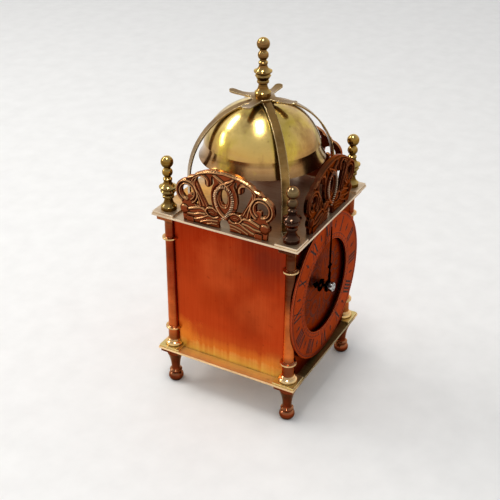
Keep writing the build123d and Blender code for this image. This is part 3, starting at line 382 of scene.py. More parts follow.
# A darker copy for the finial nearest the dial's left, as painted shade.
shaded_gilt = metal(
    "dark finial brass", colour(22, 9, 7),
    [(111, colour(38, 18, 14)), (130, colour(32, 15, 12)), (136, colour(112, 90, 60)),
     (144, colour(150, 128, 84))],
    colour(176, 138, 112), sky=0.22, under=0.9, graze=RED_EDGE, **FINIAL)
foot_bronze = metal(
    "foot bronze", colour(30, 10, 5), colour(122, 46, 18), colour(220, 158, 112), grain=ROUND,
    grain_scale=1200, depth=0.004, streaks=0.05, cloud=90, recess=0.95, rough=(0.14, 0.26), sky=0.4,
    under=0.7, graze=BROWN_EDGE, spun=0.6)
print("columns stand", round(POST_AXIS / MM, 2), "mm off the middle")


# %% [markdown]
# ## Plates
# The two plates and the thin squares on them are pale, dull brass, brushed from side to side. Their rims
# are rubbed paler by hands and cloth. The strip of the base plate under the dial is painted darker, as
# shade, and two spots on the top plate are painted bright, as reflections. Distance from the middle,
# measured square, gives the rim on all four sides at once.

# %% Plates
RIM_FROM, RIM_TO = 26 * MM, 40 * MM         # from the middle of the plate, measured square
STRIP_FROM, STRIP_TO = -2 * MM, -10 * MM    # how far in front of the diagonals the strip under the dial, painted in shade, begins


def plate_colour(middle, rim, under_dial_shade=None, lit_spots=()):
    """Makes the body of a square plate: rubbed pale along its rim and dull towards the middle.

    It can also paint shade on the strip under the dial, and spots painted bright as reflections: x and y in
    mm."""
    def made(tree, place, clouds):
        parts = axes(tree, place)
        out = {way: maths(tree, "ABSOLUTE", parts[way]) for way in "XY"}
        wander = spread(tree, clouds, 0.3, 0.7, -4 * MM, 4 * MM)
        to_rim = maths(tree, "ADD", maths(tree, "MAXIMUM", out["X"], out["Y"]), wander)
        body = blend(tree, spread(tree, to_rim, RIM_FROM, RIM_TO), middle, rim)
        # Painted shade on the strip under the dial.
        if under_dial_shade:
            forward = maths(tree, "ADD", maths(tree, "ADD", parts["Y"], out["X"]), wander)
            body = blend(tree, spread(tree, forward, STRIP_FROM, STRIP_TO), body, under_dial_shade)
        flat = combine(tree, X=parts["X"], Y=parts["Y"])
        # Spots painted bright, as reflections.
        for centre, radius, amount, shade in lit_spots:
            body = patch(tree, body, flat, centre, radius, wander, 0.3, amount, shade)
        return body
    return made


PLATE = {"grain": (1.0, 0.06, 1.0), "depth": 0.004, "edge": 0.25, "wear": 0.8}
# Two spots painted bright on the top plate, as reflections: place, radius, strength and colour.
ROOF_LIGHT_SPOTS = [((-12, 34), 24, 1.0, colour(250, 182, 74)), ((-26, -20), 13, 0.6, colour(206, 156, 108))]
plate_brass = metal(
    "pale plate brass", colour(96, 70, 46),
    plate_colour(colour(150, 116, 84), colour(230, 204, 170), lit_spots=ROOF_LIGHT_SPOTS), colour(252, 242, 222),
    rough=(0.34, 0.50), streaks=0.08, cloud=40, tarnish=(0.50, 0.78), recess=0.6, **PLATE)
base_brass = metal(
    "base plate brass", colour(88, 48, 24),
    plate_colour(colour(170, 120, 74), colour(255, 216, 160), under_dial_shade=colour(124, 106, 54)),
    colour(255, 232, 186), rough=(0.36, 0.50), streaks=0.10, cloud=40, tarnish=(0.46, 0.76), recess=0.6,
    **PLATE)
plinth_brass = metal(
    "plinth brass", colour(84, 50, 20), colour(236, 208, 132), colour(255, 242, 200), rough=(0.30, 0.44),
    streaks=0.06, cloud=60, tarnish=(0.52, 0.80), recess=0.8, under=0.6, **PLATE)
print("plates: 3 finishes,", len(ROOF_LIGHT_SPOTS), "stains on the roof")


# %% [markdown]
# ## Frets
# A fret's ground is black with old polish and its ridges are rubbed to gold. On a real carving the relief
# itself makes that pattern, with its light and shade. Here the carved skin, made further down, keeps a
# number on each point that says how bright it is painted, so the same number that raises a ridge also
# paints a highlight on it, and paints shade and dirt in the ditch beside it. The front fret is a darker
# copy, painted in shade.

# %% Frets
FRET = {"rough": (0.16, 0.28), "grain_scale": 1600, "depth": 0.004, "streaks": 0.04, "cloud": 80,
        "tarnish": (0.40, 0.72), "recess": 0.95, "edge": 0.2, "under": 0.8, "graze": RED_EDGE}
# Dark, body and bright. The front fret's copy is darker, as painted shade.
SIDE_FRET = (colour(24, 6, 3), colour(138, 60, 30), colour(246, 196, 134))
SHADED_FRONT_FRET = (colour(16, 4, 2), colour(70, 24, 12), colour(160, 104, 66))
plate_of, carving_of, scales_of = {}, {}, {}
# sky: how much brighter the faces that look up are painted; less on the front fret, whose scales are also
# darker, as painted shade.
for side, shades, sky, scale_shade in (("left", SIDE_FRET, 0.75, colour(204, 152, 108)),
                                       ("right", SIDE_FRET, 0.75, colour(204, 152, 108)),
                                       ("front", SHADED_FRONT_FRET, 0.35, colour(110, 66, 40))):
    plate_of[side] = metal(side + " fret plate", *shades, wear=0.6, sky=0.4 * sky, **FRET)
    carving_of[side] = metal(side + " fret carving", *shades, wear=0.0, sky=sky, raised_by="carved", **FRET)
    scales_of[side] = metal(
        side + " fret scales", colour(40, 12, 6), scale_shade, colour(255, 232, 196), rough=(0.16, 0.30),
        grain_scale=1600, depth=0.003, streaks=0.04, cloud=80, recess=0.95, wear=0.5, edge=0.1, sky=0.6,
        under=0.9)
print("frets: finishes for the plate, the carving and the scales on", len(plate_of), "sides")


# %% [markdown]
# ## Bell, straps and steel
# The bell is the one piece that is kept bright. Near the lip it is painted brown, as a reflection of the
# plates, and towards the dial's right it is painted in shade. Green clouds show where the polish dried. The
# straps over it are a greyer bronze with bright edges. The hands are blued steel that has gone almost black.
# The nuts and the winding key are bright steel, and the movement behind the door is clean brass.

# %% Bell, straps and steel
# Heights in mm; the brown towards the lip is a painted reflection of the plates.
BELL_LEVELS = [(136, colour(150, 112, 74)), (143, colour(176, 134, 84)), (148, colour(206, 164, 88)),
               (157, colour(250, 216, 128)), (167, colour(244, 208, 130))]
SHADED_WAY = (0.75, -1.0, 0.0)             # towards the front right corner, where shade is painted
SHADED_FROM, SHADED_TO = 6 * MM, 34 * MM


def bell_colour(tree, place, clouds):
    """Gold above, painted brown at the lip as a reflection, and painted shade on the side that faces the
    dial's right.
    """
    body = by_height(tree, place, clouds, BELL_LEVELS)
    # Painted shade on the side towards the dial's right.
    aside = measure(tree, "DOT_PRODUCT", place, SHADED_WAY)
    body = blend(tree, spread(tree, aside, SHADED_FROM, SHADED_TO, 0.0, 0.75), body, colour(150, 104, 54))
    green = spread(tree, noise(tree, place, 34.0, 4.0, 0.6), 0.50, 0.62, 0.0, 0.70)
    body = blend(tree, green, body, colour(206, 180, 58))
    stain = noise(tree, stretch(tree, place, (1.0, 1.0, 0.30)), 90.0, 5.0, 0.65)
    return blend(tree, spread(tree, stain, 0.50, 0.68, 0.0, 0.60), body, colour(138, 94, 52))


bell_brass = metal(
    "polished bell brass", colour(110, 78, 38), bell_colour, colour(255, 240, 180), rough=(0.12, 0.24),
    grain=ROUND, depth=0.002, streaks=0.04, cloud=38, tarnish=(0.50, 0.90), recess=0.3, wear=0.4, spun=0.45)
strap_bronze = metal(
    "strap bronze", colour(44, 26, 12), colour(152, 116, 62), colour(255, 232, 182), rough=(0.20, 0.34),
    grain=(0.2, 0.2, 1.0), grain_scale=1000, depth=0.003, streaks=0.05, cloud=60, recess=0.6, under=0.5,
    edge=0.45, wear=1.0)
STEEL = {"grain_scale": 1500, "depth": 0.006, "cloud": 150}
steel = metal("blued steel", colour(5, 3, 3), colour(14, 8, 8), colour(60, 42, 38), rough=(0.22, 0.36),
              recess=0.5, wear=0.25, edge=0.08, graze=(0.30, 0.24, 0.22, 1.0), **STEEL)
bright_steel = metal("bright steel", colour(60, 58, 56), colour(190, 188, 184), colour(244, 244, 240),
                     rough=(0.14, 0.30), recess=0.7, **STEEL)
spring_steel = metal("spring steel", colour(22, 26, 40), colour(70, 82, 112), colour(170, 180, 200),
                     rough=(0.18, 0.3), grain_scale=1500, depth=0.004, cloud=150, recess=0.5)
works_brass = metal("movement brass", colour(110, 78, 34), colour(214, 178, 104), colour(248, 226, 170),
                    rough=(0.18, 0.32), grain_scale=1500, depth=0.006, cloud=90, recess=0.6)
print("materials so far:", len(bpy.data.materials))


# %% [markdown]
# ## Finishes on the frame's pieces
# The frame's pieces already have the right shape, so most need no more than a finish in their material
# slot. Brass goes on everything first, and what isn't movement brass is then painted over it, piece by
# piece.

# %% Finishes on the frame's pieces
SIDES = (("front", 0), ("left", -90), ("right", 90))        # a face of the case and its angle round Z
paint(works_brass, *nodes)
paint(sheet_metal["left"], "left_panel")
paint(sheet_metal["right"], "right_panel")
paint(sheet_metal["door"], "back_door")
paint(dial_copper, "front_plate")
paint(ring_copper, "chapter_ring")
paint(post_brass, "column_back_left", "column_back_right", "column_front_right")
paint(shaded_post_brass, "column_front_left")
paint(gilt, "finial_back_left", "finial_back_right", "finial_front_right", "centre_finial", "door_latch",
      "bell_nut")
paint(shaded_gilt, "finial_front_left")
paint(foot_bronze, *[f"foot_{y}_{x}" for y in ("front", "back") for x in ("left", "right")])
paint(plate_brass, "top_plate", "finial_squares")
paint(base_brass, "base_plate")
paint(plinth_brass, "column_plinths")
for side, turn_angle in SIDES:
    paint(plate_of[side], "fret_" + side)
paint(strap_bronze, "bell_hoop_upper", "bell_hoop_lower", "petal_star")
paint(bell_brass, "bell")
paint(steel, "minute_hand", "hour_hand", "click", "barrel_arbor", "fret_screws")
paint(bright_steel, "hand_nut", "pillar_nuts", "winding_key", "ratchet_wheel", "cannon_pinion")
paint(spring_steel, "hairspring", "mainspring", "click_spring", "regulator")
print("finishes on", len(nodes), "pieces")


# %% [markdown]
# ## Tools for new pieces
# A new piece is drawn flat, in millimetres, as it looks from its own front, and then placed on the face
# that carries it. u runs right, v runs up and w comes out of the face. Its place goes into its points, so
# that its object stays at the origin as the frame's pieces do.

# %% Tools for new pieces
def on_face(y, z, turn=0.0):
    """Takes a drawing (u, v, w) to a face of the case. turn is that face's angle round Z, in degrees."""
    face = Matrix.Translation((0, y, z)) @ Matrix.Rotation(math.pi / 2, 4, "X") @ Matrix.Scale(MM, 4)
    return Matrix.Rotation(math.radians(turn), 4, "Z") @ face


def new_object(name, data):
    """An object at the origin that holds a mesh, a curve, a light or a camera."""
    made = bpy.data.objects.new(name, data)
    bpy.context.scene.collection.objects.link(made)
    return made


def mesh_piece(name, points, faces, place, material, body="case", slot=None):
    """A finished piece from points and faces of a drawing."""
    mesh = bpy.data.meshes.new(name)
    mesh.from_pydata([tuple(p) for p in points], [], [tuple(f) for f in faces])
    return finish_piece(name, mesh, place, material, body)


def finish_piece(name, mesh, place, material, body="case", smooth=35.0):
    """Merges doubles, turns normals outward, smooths what is round and hangs the piece on its body."""
    shape = bmesh.new()
    shape.from_mesh(mesh)
    bmesh.ops.transform(shape, matrix=place, verts=shape.verts)
    bmesh.ops.remove_doubles(shape, verts=shape.verts, dist=1e-7)
    bmesh.ops.recalc_face_normals(shape, faces=shape.faces)
    shape.to_mesh(mesh)
    shape.free()
    mesh.materials.clear()
    mesh.materials.append(material)
    mesh.set_sharp_from_angle(angle=math.radians(smooth))
    for face in mesh.polygons:
        face.use_smooth = True
    piece = new_object(name, mesh)
    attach(piece, body)
    return piece


def prism(outline, low, high):
    """Points and faces of a flat shape given a thickness, from w = low to w = high."""
    count = len(outline)
    points = [(u, v, low) for u, v in outline] + [(u, v, high) for u, v in outline]
    faces = [tuple(range(count))[::-1], tuple(range(count, 2 * count))]
    faces += [(i, (i + 1) % count, (i + 1) % count + count, i + count) for i in range(count)]
    return points, faces


def join(parts):
    """Several lots of points and faces as one."""
    points, faces = [], []
    for more_points, more_faces in parts:
        start = len(points)
        points += list(more_points)
        faces += [tuple(start + i for i in face) for face in more_faces]
    return points, faces


def turned_by(outline, angle, shift=(0.0, 0.0)):
    """A flat shape moved by shift and then turned by an angle in degrees."""
    c, s = math.cos(math.radians(angle)), math.sin(math.radians(angle))
    moved = [(u + shift[0], v + shift[1]) for u, v in outline]
    return [(u * c - v * s, u * s + v * c) for u, v in moved]


def smooth_path(corners, per_step=10, closed=False):
    """A smooth line through corners, by Catmull and Rom's rule."""
    corners = [np.array(c, float) for c in corners]
    if closed:
        chain = [corners[-1]] + corners + corners[:2]
    else:
        chain = [2 * corners[0] - corners[1]] + corners + [2 * corners[-1] - corners[-2]]
    path = []
    for a, b, c, d in zip(chain, chain[1:], chain[2:], chain[3:]):
        for step in range(per_step):
            t = step / per_step
            path.append(0.5 * (2 * b + (c - a) * t + (2 * a - 5 * b + 4 * c - d) * t ** 2
                               + (3 * b - a - 3 * c + d) * t ** 3))
    if not closed:
        path.append(corners[-1])
    return np.array(path)


def modifier_tree(name, sockets):
    """A new Geometry Nodes tree with a Geometry input and output, the named inputs and a Material."""
    tree = bpy.data.node_groups.new(name, "GeometryNodeTree")
    tree.interface.new_socket("Geometry", in_out="INPUT", socket_type="NodeSocketGeometry")
    tree.interface.new_socket("Geometry", in_out="OUTPUT", socket_type="NodeSocketGeometry")
    keys = {}
    for label, kind in {**sockets, "Material": "Material"}.items():
        socket = tree.interface.new_socket(label, in_out="INPUT", socket_type="NodeSocket" + kind)
        keys[label] = socket.identifier
    return tree, tree.nodes.new("NodeGroupInput").outputs, keys


def end_tree(tree, inlet, geometry):
    """Ends a tree: copies are made real, because an export drops instances, and get their material."""
    real = add(tree, "GeometryNodeRealizeInstances", {"Geometry": geometry}).outputs[0]
    coated = add(tree, "GeometryNodeSetMaterial", {"Geometry": real, "Material": inlet["Material"]})
    add(tree, "NodeGroupOutput", {"Geometry": coated.outputs[0]})


def grow(tree, keys, source, values):
    """Runs a tree on a mesh or curve with the given inputs, and returns the plain mesh that it makes."""
    host = new_object("host", source)
    modifier = host.modifiers.new("grow", "NODES")
    modifier.node_group = tree
    for label, value in values.items():
        modifier[keys[label]] = value
    bpy.context.view_layer.update()
    seen = host.evaluated_get(bpy.context.evaluated_depsgraph_get())
    mesh = bpy.data.meshes.new_from_object(seen)
    host.modifiers.remove(modifier)
    bpy.data.objects.remove(host)
    return mesh


def poly_curve(paths):
    """A curve with one open run through each path, in the drawing's plane."""
    curve = bpy.data.curves.new("path", "CURVE")
    curve.dimensions = "3D"
    for path in paths:
        run = curve.splines.new("POLY")
        run.points.add(len(path) - 1)
        for point, place in zip(run.points, path):
            point.co = (place[0], place[1], 0.0, 1.0)
    return curve


print("new pieces are drawn in mm, and 1 mm is", MM, "m in the frame")


# %% [markdown]
# ## Side sheets scribed to the columns
# Each side of the case is closed by a sheet that stands between two columns. A maker scribes its upright
# edges to the turned shapes, rings and all, so that only a hair line shows. The frame's sheet follows the
# columns in plain steps. This one follows them with an even gap: the columns' own points give a radius at
# every height, and the outline is worked out from that. Two tabs above and two below lock it in slots of
# the plates, as on the frame's sheet, whose own points say where they are.

# %% Side sheets
def turned_profile(name):
    """Heights and radii, in mm, of a turned piece, and how far its axis lies from the middle of the case."""
    points = np.array([tuple(v.co) for v in nodes[name].data.vertices]) / MM
    axis = (points.min(0) + points.max(0)) / 2
    radii = np.hypot(points[:, 0] - axis[0], points[:, 1] - axis[1])
    heights = np.round(points[:, 2], 2)
    levels = np.unique(heights)
    widest = np.array([radii[heights == level].max() for level in levels])
    return levels, widest, abs(axis[1])


SCRIBED_GAP = 0.12          # mm of air between a sheet and a column
COLUMN_BORE = 1.6           # points nearer to a column's axis than this line its threaded hole


def node_box(name):
    """The lowest and highest corners of a node, in mm."""
    return [[part / MM for part in corner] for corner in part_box(name)]


levels, widest, post_axis = turned_profile("column_back_left")
levels, widest = levels[widest > COLUMN_BORE], widest[widest > COLUMN_BORE]
column_low, column_high = node_box("column_back_left")
low, high = node_box("column_plinths")[0][2], column_high[2]
square_half = (column_high[0] - column_low[0]) / 2
widest = np.minimum(widest, square_half)
levels = np.concatenate([[low], levels, [high]])
widest = np.concatenate([[square_half], widest, [square_half]])
edge_line = [(post_axis - r - SCRIBED_GAP, z) for z, r in zip(levels, widest)]

panel_low, panel_high = node_box("left_panel")
panel_points = np.array([tuple(v.co) for v in nodes["left_panel"].data.vertices]) / MM
tab_sides = np.abs(panel_points[panel_points[:, 2] > panel_high[2] - 0.1][:, 1])


def tabs(shoulder, end):
    """The line along the top or bottom of a sheet, from right to left, with its two tabs."""
    near, far = tab_sides.min(), tab_sides.max()
    right = [(far, shoulder), (far, end), (near, end), (near, shoulder)]
    return right + [(-u, v) for u, v in reversed(right)]


sheet_outline = edge_line + tabs(high, panel_high[2]) + [(-u, z) for u, z in reversed(edge_line)]
sheet_outline += tabs(low, panel_low[2])[::-1]
for side, turn_angle in SIDES[1:]:
    node_low, node_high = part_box(side + "_panel")
    outside = -max(abs(node_low[0]), abs(node_high[0]))
    sheet = mesh_piece(side + "_sheet", *prism(sheet_outline, -(node_high[0] - node_low[0]) / MM, 0.0),
                       on_face(outside, 0, turn_angle), sheet_metal[side], slot="copper_sheet")
    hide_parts(side + "_panel")
print("side sheets:", len(sheet_outline), "points each")


# %% [markdown]
# ## The hand nut
# The nut that holds the hands is the one bright spot of the dial. The frame's nut is a plain hexagon. A
# real one is chamfered, so that its face is round and its corners slope. A bevel would round the edges
# alike all the way, so rings of points are laid over each other instead: hexagons first, then circles.

# %% The hand nut
nut_low, nut_high = node_box("hand_nut")
nut_corner = (nut_high[0] - nut_low[0]) / 2
nut_depth = nut_high[1] - nut_low[1]
NUT_BORE = 1.55
NUT_STEPS = 36
NUT_RINGS = [(-nut_depth, NUT_BORE, False), (-nut_depth, nut_corner, True), (-0.75, nut_corner, True),
             (-0.28, 0.86 * nut_corner, False), (-0.06, 0.72 * nut_corner, False), (0.0, 1.7, False),
             (-0.12, NUT_BORE, False)]      # height from the face, radius or corner radius, hexagonal


def nut_ring(w, radius, hexagonal):
    """Points round the nut at a height w, on a circle or on the hexagon with that corner radius."""
    ring = []
    for k in range(NUT_STEPS):
        a = 2 * math.pi * k / NUT_STEPS
        r = radius
        if hexagonal:
            r *= math.cos(math.pi / 6) / math.cos(a % (math.pi / 3) - math.pi / 6)
        ring.append((r * math.cos(a), r * math.sin(a), w))
    return ring


nut_points = [point for row in NUT_RINGS for point in nut_ring(*row)]
nut_faces = []
for i in range(len(NUT_RINGS)):
    j = (i + 1) % len(NUT_RINGS)
    for k in range(NUT_STEPS):
        m = (k + 1) % NUT_STEPS
        nut_faces.append((i * NUT_STEPS + k, i * NUT_STEPS + m, j * NUT_STEPS + m, j * NUT_STEPS + k))
nut_place = on_face(nut_low[1] * MM, (nut_low[2] + nut_high[2]) / 2 * MM)
nut = mesh_piece("chamfered_nut", nut_points, nut_faces, nut_place, bright_steel, body="minute_hand",
                 slot="steel")
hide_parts("hand_nut")
print("hand nut:", len(nut_faces), "faces")


# %% [markdown]
# ## Wax and engraving
# The numerals are cut into the ring with a graver and filled with black wax. Sunk letters could be cut from
# the ring itself, but at this size only the wax is seen, so each stroke is a sliver of wax a few hundredths
# of a millimetre proud. A stroke has a broad stem and thin serifs, and a V or X has one broad and one thin
# leg, because the graver was turned. All numerals stand on a circle with their feet to the centre.

# %% Black wax
wax, tree = new_tree("black wax")
wax_grain = noise(tree, object_place(tree), 700.0, 4.0)
wax_tone = blend(tree, spread(tree, wax_grain, 0.35, 0.7), colour(26, 8, 6), colour(52, 16, 10))
wax_bump = add(tree, "ShaderNodeBump", {"Height": wax_grain, "Distance": 0.02 * MM, "Strength": 0.6})
surface(tree, {"Base Color": wax_tone, "Roughness": spread(tree, wax_grain, 0.3, 0.7, 0.45, 0.7),
               "Normal": wax_bump.outputs["Normal"], "Specular IOR Level": 0.1})
WAX = (-0.02, 0.03)         # a filled cut starts below the metal's face and ends just proud of it, mm
print("wax stands", WAX[1], "mm proud")


# %% Numerals of the chapter ring
NUMERALS = ["XII", "I", "II", "III", "IIII", "V", "VI", "VII", "VIII", "IX", "X", "XI"]
STEM, BROAD, THIN = 1.15, 1.2, 0.5          # widths of an I and of the two legs of a V or X, mm
LETTER_WIDTHS = {"I": 2.05, "V": 4.7, "X": 4.9}
NUMERAL_FOOT_R, NUMERAL_HEIGHT = 30.6, 8.2


def leg(foot_u, head_u, width, height):
    """A slanting or upright stroke from v = 0 to v = height."""
    half = width / 2
    return [(foot_u - half, 0), (foot_u + half, 0), (head_u + half, height), (head_u - half, height)]


def serif(middle, half, v, side):
    """A thin bar that closes a stroke, bracketed on the side of the stem."""
    return [(middle - half, v), (middle + half, v), (middle + half * 0.45, v + side * 0.42),
            (middle - half * 0.45, v + side * 0.42)]


def letter(kind, middle, height):
    """The outlines of one letter, centred on middle."""
    if kind == "I":
        return [leg(middle, middle, STEM, height), serif(middle, 1.05, 0, 1), serif(middle, 1.05, height, -1)]
    if kind == "V":
        return [leg(middle, middle - 1.45, BROAD, height), leg(middle + 0.1, middle + 1.55, THIN, height),
                serif(middle - 1.5, 1.0, height, -1), serif(middle + 1.55, 0.75, height, -1)]
    return [leg(middle + 1.45, middle - 1.45, BROAD, height), leg(middle - 1.45, middle + 1.45, THIN, height),
            serif(middle - 1.5, 1.0, height, -1), serif(middle + 1.5, 0.8, height, -1),
            serif(middle + 1.5, 1.0, 0, 1), serif(middle - 1.5, 0.8, 0, 1)]


strokes = []
for hour, text in enumerate(NUMERALS):
    cursor = -sum(LETTER_WIDTHS[kind] for kind in text) / 2
    for kind in text:
        for outline in letter(kind, cursor + LETTER_WIDTHS[kind] / 2, NUMERAL_HEIGHT):
            strokes.append(prism(turned_by(outline, -30 * hour, (0, NUMERAL_FOOT_R)), *WAX))
        cursor += LETTER_WIDTHS[kind]
ring_place, sheet_place = on_face(ring_face, dial_z), on_face(sheet_face, dial_z)
mesh_piece("numerals", *join(strokes), ring_place, wax)
print("numerals:", len(NUMERALS), "groups,", len(strokes), "strokes")


# %% [markdown]
# ## Marks that repeat round the ring
# Between the hours stand small darts for the half hours, and an inner track of bars marks the quarters,
# because such a clock was first read with one hand. One mark is drawn and a node tree sets copies of it on
# a circle, each turned to the centre, so the same tree serves the darts and the bars.

# %% Marks round the ring
tree, inlet, keys = modifier_tree(
    "marks on a circle", {"Count": "Int", "Radius": "Float", "First angle": "Float"})
circle = add(tree, "GeometryNodeMeshCircle", {"Vertices": inlet["Count"], "Radius": inlet["Radius"]})
index = add(tree, "GeometryNodeInputIndex").outputs[0]
step = maths(tree, "DIVIDE", 2 * math.pi, inlet["Count"])
outward = combine(tree, Z=maths(tree, "MULTIPLY_ADD", index, step, -math.pi / 2))
copies = add(tree, "GeometryNodeInstanceOnPoints", {
    "Points": circle.outputs["Mesh"], "Instance": inlet["Geometry"], "Rotation": outward})
turned = add(tree, "GeometryNodeTransform", {
    "Geometry": copies.outputs["Instances"], "Rotation": combine(tree, Z=inlet["First angle"])})
end_tree(tree, inlet, turned.outputs["Geometry"])


def drawing(outlines):
    """A mesh of filled cuts with these outlines."""
    mesh = bpy.data.meshes.new("drawing")
    points, faces = join([prism(outline, *WAX) for outline in outlines])
    mesh.from_pydata(points, [], faces)
    return mesh


DARTS, DART_R = 12, 34.6        # how many, and the radius of their circle in mm
BARS, BAR_R = 48, 28.5
dart = drawing([[(0, -2.2), (0.95, 0.1), (0, 1.0), (-0.95, 0.1)],
                [(-0.22, 0.8), (0.22, 0.8), (0.12, 2.9), (-0.12, 2.9)],
                [(-0.75, 1.7), (0, 1.25), (0.75, 1.7), (0, 2.05)]])
halfway = math.pi / DARTS
darts = grow(tree, keys, dart, {"Count": DARTS, "Radius": DART_R, "First angle": halfway, "Material": wax})
finish_piece("half_hour_darts", darts, ring_place, wax)

bar = drawing([[(-0.14, -0.95), (0.14, -0.95), (0.14, 0.95), (-0.14, 0.95)]])
bars = grow(tree, keys, bar, {"Count": BARS, "Radius": BAR_R, "First angle": 0.0, "Material": wax})
finish_piece("quarter_bars", bars, ring_place, wax)
print("darts and bars:", len(darts.polygons) + len(bars.polygons), "faces")


# %% [markdown]
# ## Engraved circles
# Circles scribed with dividers bound the numerals and the inner track. Each is a flat ring, made by a loop,
# because a mesh circle of Blender's own has no width.

# %% Engraved circles
CIRCLES = [(27.45, 0.13), (29.55, 0.13), (40.6, 0.15), (39.9, 0.07)]         # radius and half width, mm
CIRCLE_STEPS = 144


def band(inner, outer, low, high):
    """A flat ring."""
    points, faces = [], []
    for k in range(CIRCLE_STEPS):
        c, s = math.cos(2 * math.pi * k / CIRCLE_STEPS), math.sin(2 * math.pi * k / CIRCLE_STEPS)
        points += [(inner * c, inner * s, low), (outer * c, outer * s, low),
                   (outer * c, outer * s, high), (inner * c, inner * s, high)]
        a, b = 4 * k, 4 * ((k + 1) % CIRCLE_STEPS)
        faces += [(a + i, a + (i + 1) % 4, b + (i + 1) % 4, b + i) for i in range(4)]
    return points, faces


circles = join([band(r - half, r + half, *WAX) for r, half in CIRCLES])
mesh_piece("engraved_circles", *circles, ring_place, wax)
print("circles:", len(CIRCLES))


# %% [markdown]
# ## Leaves in the dial's centre
# The middle of the dial is engraved with scrolling leaves, a common filling on such dials. A graver's cut
# starts fine, swells as it is pushed in and ends fine. The cuts are drawn as smooth lines on one half and
# mirrored, and a node tree gives each line the swelling width. Cut grooves would be truer but are far below
# one pixel, so each is a low dark ridge.

# %% Graver cuts
CUT_END = 0.15              # a cut's width at its ends, as a share of its full width
tree, inlet, keys = modifier_tree("graver cut", {"Width": "Float", "Points": "Int"})
even = add(tree, "GeometryNodeResampleCurve", {"Curve": inlet["Geometry"], "Count": inlet["Points"]})
along = add(tree, "GeometryNodeSplineParameter").outputs["Factor"]
swell = maths(tree, "SINE", maths(tree, "MULTIPLY", along, math.pi))
swell = maths(tree, "MULTIPLY_ADD", swell, 1 - CUT_END, CUT_END)
profile = add(tree, "GeometryNodeCurvePrimitiveCircle", {"Resolution": 6, "Radius": inlet["Width"]})
swept = add(tree, "GeometryNodeCurveToMesh", {
    "Curve": even.outputs["Curve"], "Profile Curve": profile.outputs["Curve"], "Scale": swell,
    "Fill Caps": True})
end_tree(tree, inlet, swept.outputs["Mesh"])
print("graver cut: a tree with", len(tree.nodes), "nodes")


# %% Lines of the leaves
def scroll(centre, start_r, end_r, start, sweep, steps=26):
    """A volute that winds from one radius to another, angles in degrees."""
    path = []
    for k in range(steps):
        t = k / (steps - 1)
        r = start_r + (end_r - start_r) * t
        a = math.radians(start + sweep * t)
        path.append((centre[0] + r * math.cos(a), centre[1] + r * math.sin(a)))
    return path


def leaf(root, tip, bulge):
    """Two edges and a rib of a leaf from its root to its tip."""
    root, tip = np.array(root, float), np.array(tip, float)
    across = np.array([-(tip - root)[1], (tip - root)[0]]) * bulge
    middle = (root + tip) / 2
    return [smooth_path([root, middle + across, tip], 8), smooth_path([root, middle - across, tip], 8),
            smooth_path([root, middle + across * 0.12, tip * 0.8 + root * 0.2], 8)]


SCROLLS = [((9.5, 9.5), 7.2, 1.2, 200, -560), ((9.5, 9.5), 6.2, 1.0, 205, -500),
           ((9.0, -9.8), 7.4, 1.2, 150, 560), ((9.0, -9.8), 6.4, 1.0, 155, 500)]
STALKS = [[(0.6, 4.5), (2.6, 8.0), (2.4, 12.5), (0.8, 17.0), (0, 22.5)],
          [(0.6, -4.5), (2.8, -8.5), (2.2, -13.0), (0.9, -17.5), (0, -23.0)],
          [(3.6, 3.2), (8.5, 2.0), (13.5, 2.6), (18.0, 0.4), (23.5, 0.0)],
          [(3.6, -3.0), (8.5, -2.2), (13.5, -2.8), (18.0, -0.6), (23.5, 0.0)]]
LEAVES = [                  # root, tip and bulge
    ((4.0, 14.0), (3.2, 21.5), 0.22), ((7.5, 15.8), (10.2, 21.0), 0.25), ((13.5, 14.5), (18.5, 15.5), 0.25),
    ((15.6, 9.6), (21.5, 8.6), 0.22), ((15.5, 5.4), (20.4, 3.8), 0.25), ((4.2, -14.6), (3.4, -22.0), 0.22),
    ((8.4, -16.4), (11.2, -21.2), 0.25), ((13.8, -14.2), (18.6, -15.0), 0.25),
    ((15.4, -8.8), (21.4, -8.2), 0.22), ((15.0, -5.0), (20.2, -3.4), 0.25)]
cuts = [np.array(scroll(*row)) for row in SCROLLS] + [smooth_path(stalk) for stalk in STALKS]
for row in LEAVES:
    cuts += leaf(*row)
cuts += [path * np.array([-1.0, 1.0]) for path in cuts]
print("leaf cuts:", len(cuts))


# %% Leaves in the dial's centre
def shade_line(path):
    """Short cuts that stand on one side of a long line, as a graver shades a stem."""
    short = []
    for k in range(3, len(path) - 3, 3):
        direction = path[k + 1] - path[k - 1]
        direction /= max(1e-6, np.hypot(*direction))
        normal = np.array([-direction[1], direction[0]])
        short.append([path[k] + normal * 0.15, path[k] + normal * 0.9 + direction * 0.35])
    return short


LONG_LINE = 25              # a line with more points than this is a stem and gets shading
shading = [short for path in cuts if len(path) > LONG_LINE for short in shade_line(path)]
flattened = sheet_place @ Matrix.Diagonal((1, 1, 0.18, 1))
for name, paths, width, count in (("dial_leaves", cuts, 0.24, 28), ("dial_leaf_shading", shading, 0.12, 4)):
    engraving = grow(tree, keys, poly_curve(paths), {"Width": width, "Points": count, "Material": wax})
    finish_piece(name, engraving, flattened, wax)
print("shading cuts:", len(shading))


# %% [markdown]
# ## Carved frets
# Each fret is a casting of two dolphins whose tails cross over a loop, a pattern that lantern clocks have
# carried since the seventeenth century. A flat pierced plate would look sawn, so its front gets a carved
# skin. The skin is a fine net of triangles inside the plate's own outline. Every point rises by how far it
# is from the edge, and by ridges drawn along the rims, stems, fins and lips. It is worked out once and
# turned for the three sides.

